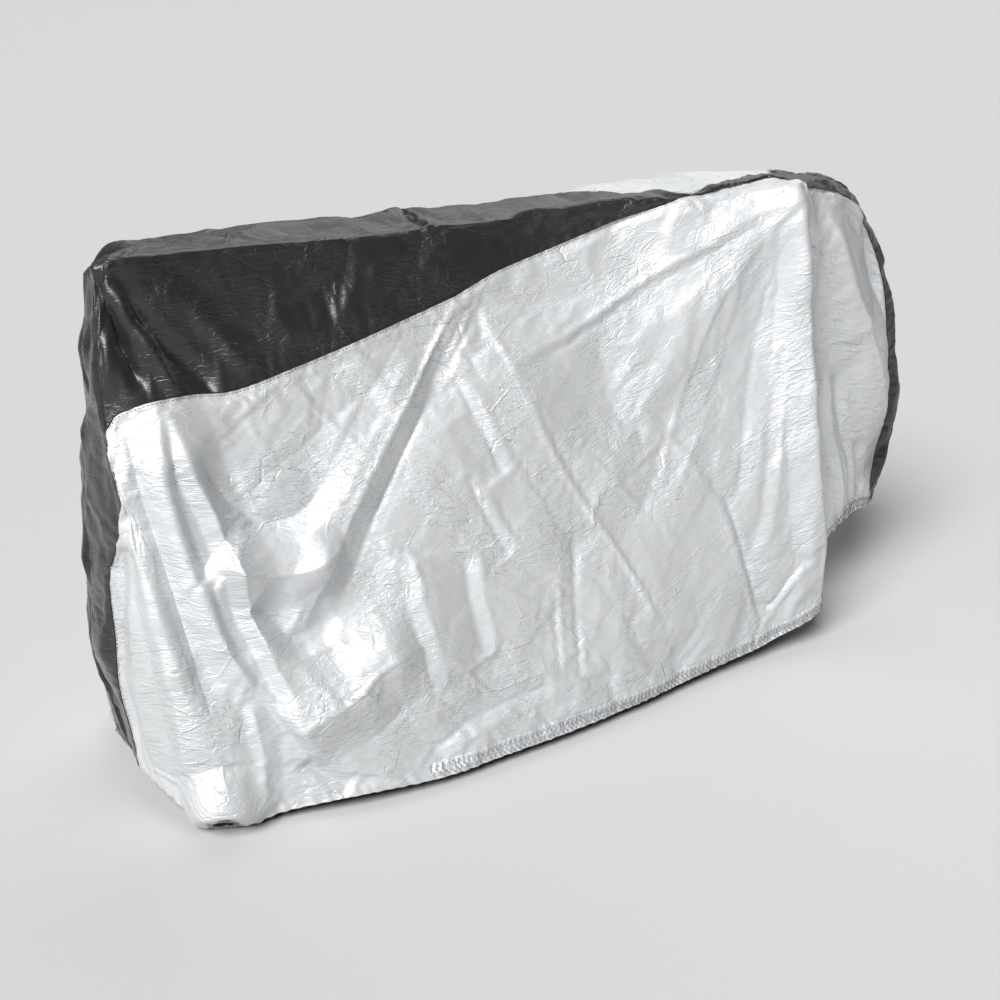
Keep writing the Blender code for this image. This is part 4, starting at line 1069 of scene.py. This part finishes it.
# ---------------------------------------------------------------- eyelet
# A pressed brass eyelet, nickel plated, clenched through the patch: a soft grey metal with the
# fine rings that the die leaves.
ring_spacing = 0.00121          # metres between the rings
nickel = bpy.data.materials.new("nickel_plated_brass")
nickel.use_nodes = True
tree = nickel.node_tree
shader = tree.nodes["Principled BSDF"]
place = add_node(tree, "ShaderNodeTexCoord")
centred = add_node(tree, "ShaderNodeMapping", {"Vector": place.outputs["Object"],
                                               "Location": tuple(-eyelet_world)})
rings = add_node(tree, "ShaderNodeTexWave", {"Vector": centred.outputs["Vector"],
                                             "Scale": round(math.tau / 20 / ring_spacing),
                                             "Distortion": 0.6},
                 wave_type="RINGS", rings_direction="SPHERICAL")
pressed = add_node(tree, "ShaderNodeBump", {"Strength": 0.3, "Distance": 0.0003,
                                            "Height": rings.outputs["Fac"]})
tree.links.new(pressed.outputs["Normal"], shader.inputs["Normal"])
set_inputs(shader, Base_Color=linear("8f9090"), Metallic=1.0, Roughness=0.34)
ring = bpy.data.objects["eyelet_ring"]
ring.material_slots[0].material = nickel

# ---------------------------------------------------------------- far side panel
# The same panel on the far side, without an eyelet: silver taffeta, sewn to the gusset and
# gathered on the elastic in the same way, with its seam corded in the grey thread.
far_cells = (6, 9)              # as for the near panel
far_settling = (4, 6)
far_grid, far_uv = crease_and_hang(panel_places(1, *far_cells)[::-1],
                                   panel_places(1, *far_settling)[::-1],
                                   seed=5, turn=-0.6, slack=0.014, reach=0.018,
                                   edges=panel_edges)
far_panel = mesh_from_grid("far_panel", far_grid, far_uv)
far_panel.data.materials.append(silver)
far_casing = hem_casing("far_hem_casing", far_grid, 0)
far_stitches, far_cord = sew_seam("far", far_grid, grey_thread)
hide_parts("side_panel_far")
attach(far_panel, "root")
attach(far_casing, "root")

# ---------------------------------------------------------------- gusset
# Three lengths of black taffeta, uncoated, with a dull silky sheen and creases of the same kind.
# They lie end to end over the tail, the top and the nose, and the last end of each, towards the
# nose and its hem, is stitched in black thread.
black = silver.copy()
black.name = "black_taffeta"
shader = black.node_tree.nodes["Principled BSDF"]
for node in black.node_tree.nodes:
    if node.bl_idname == "ShaderNodeBump":
        node.inputs["Distance"].default_value *= 0.5 if node.name == "soft_rumple" else 1.0
set_inputs(shader, Base_Color=linear("202021"), Metallic=0.0, Roughness=0.40,
           Specular_IOR_Level=0.75, Sheen_Weight=0.20, Sheen_Roughness=0.4)
gusset_edges = (                # axis, end, pitch, depth, reach, sewn
    (1, 0, 0.026, 0.0016, 0.050, 0.004),         # the seams to the panels
    (1, -1, 0.026, 0.0016, 0.050, 0.004),
    (0, 0, 0.024, 0.0022, 0.070, 0.003),        # its ends
    (0, -1, 0.024, 0.0022, 0.070, 0.003))
gusset_cells = (8, 8)           # as for the panels
gusset_settling = (4, 4)
gusset_crease = 2.4             # how much deeper its small creases are than the panels'
end_rows = (0.006, 0.010)       # distances from an end: the stitches run along the first
end_lift = 0.0008
gusset_stops = seam_stops(*gusset_cells)
coarse_stops = seam_stops(*gusset_settling)
# name | node | sections | their number | cells to a leg | flat size | area | seed | slack
for name, node, rows, length, quarter, flat, area, seed, slack in (
        ("tail_gusset", "gusset_tail", tail_sections, 0, 6, (0.36, 1.05), 0.20, 7, 0.006),
        ("top_gusset", "gusset_top", top_sections, 1, 8, (0.56, 0.86), 0.38, 8, 0.014),
        ("nose_gusset", "gusset_nose", nose_sections, 2, 4, (0.50, 1.60), 0.26, 9, 0.006)):
    grid, uv = crease_and_hang(gusset_places(rows, gusset_stops[length], 2 * quarter),
                               gusset_places(rows, coarse_stops[length], quarter),
                               seed=seed, turn=0.5, slack=slack, reach=slack,
                               edges=gusset_edges, depth=gusset_crease)
    piece = mesh_from_grid(name, grid, uv)
    piece.data.materials.append(black)
    end = rows_in(grid, 0, -1, end_rows)
    stitches = sew(name + "_stitches", straight_stitch, (end + facing(end) * end_lift)[:, 0],
                   Pitch=0.0075, Length=0.0042, Thread_Radius=0.0009, Thread=black_thread)
    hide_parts(node)
    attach(piece, "root")

# ---------------------------------------------------------------- floor and light
# A pale studio floor that runs on behind the cover, under one broad soft lamp high over the
# rear quarter and a weak one across from it, with a faint even light from all round.
floor_size = 160.0
bpy.ops.mesh.primitive_plane_add(size=floor_size, location=(0, 0, 0))
floor = bpy.context.object
floor.name = "floor"
paper = bpy.data.materials.new("studio_paper")
paper.use_nodes = True
set_inputs(paper.node_tree.nodes["Principled BSDF"], Base_Color=linear("c4c4c4"), Roughness=0.9)
floor.data.materials.append(paper)

# lamp | degrees round from -Y towards +X | degrees above the floor | W/m2 | degrees across
for name, round_by, up_by, strength, across_by in (("key", -52.0, 45.0, 4.65, 30.0),
                                                   ("fill", 142.0, 40.0, 0.8, 50.0)):
    lamp = bpy.data.objects.new(name, bpy.data.lights.new(name, "SUN"))
    lamp.data.energy = strength
    lamp.data.angle = math.radians(across_by)
    lamp.rotation_euler = (math.radians(90 - up_by), 0, math.radians(round_by))
    bpy.context.scene.collection.objects.link(lamp)
world = bpy.data.worlds.new("studio")
world.use_nodes = True
tree = world.node_tree
dim = tree.nodes["Background"]
set_inputs(dim, Color=linear("ffffff"), Strength=0.05)
pale = add_node(tree, "ShaderNodeBackground", {"Color": linear("d0d0d0"), "Strength": 1.0})
seen = add_node(tree, "ShaderNodeLightPath")
sky = add_node(tree, "ShaderNodeMixShader", {0: seen.outputs["Is Camera Ray"],
                                             1: dim.outputs[0], 2: pale.outputs[0]})
tree.links.new(sky.outputs[0], tree.nodes["World Output"].inputs["Surface"])
bpy.context.scene.world = world
bpy.context.scene.view_settings.view_transform = "Standard"
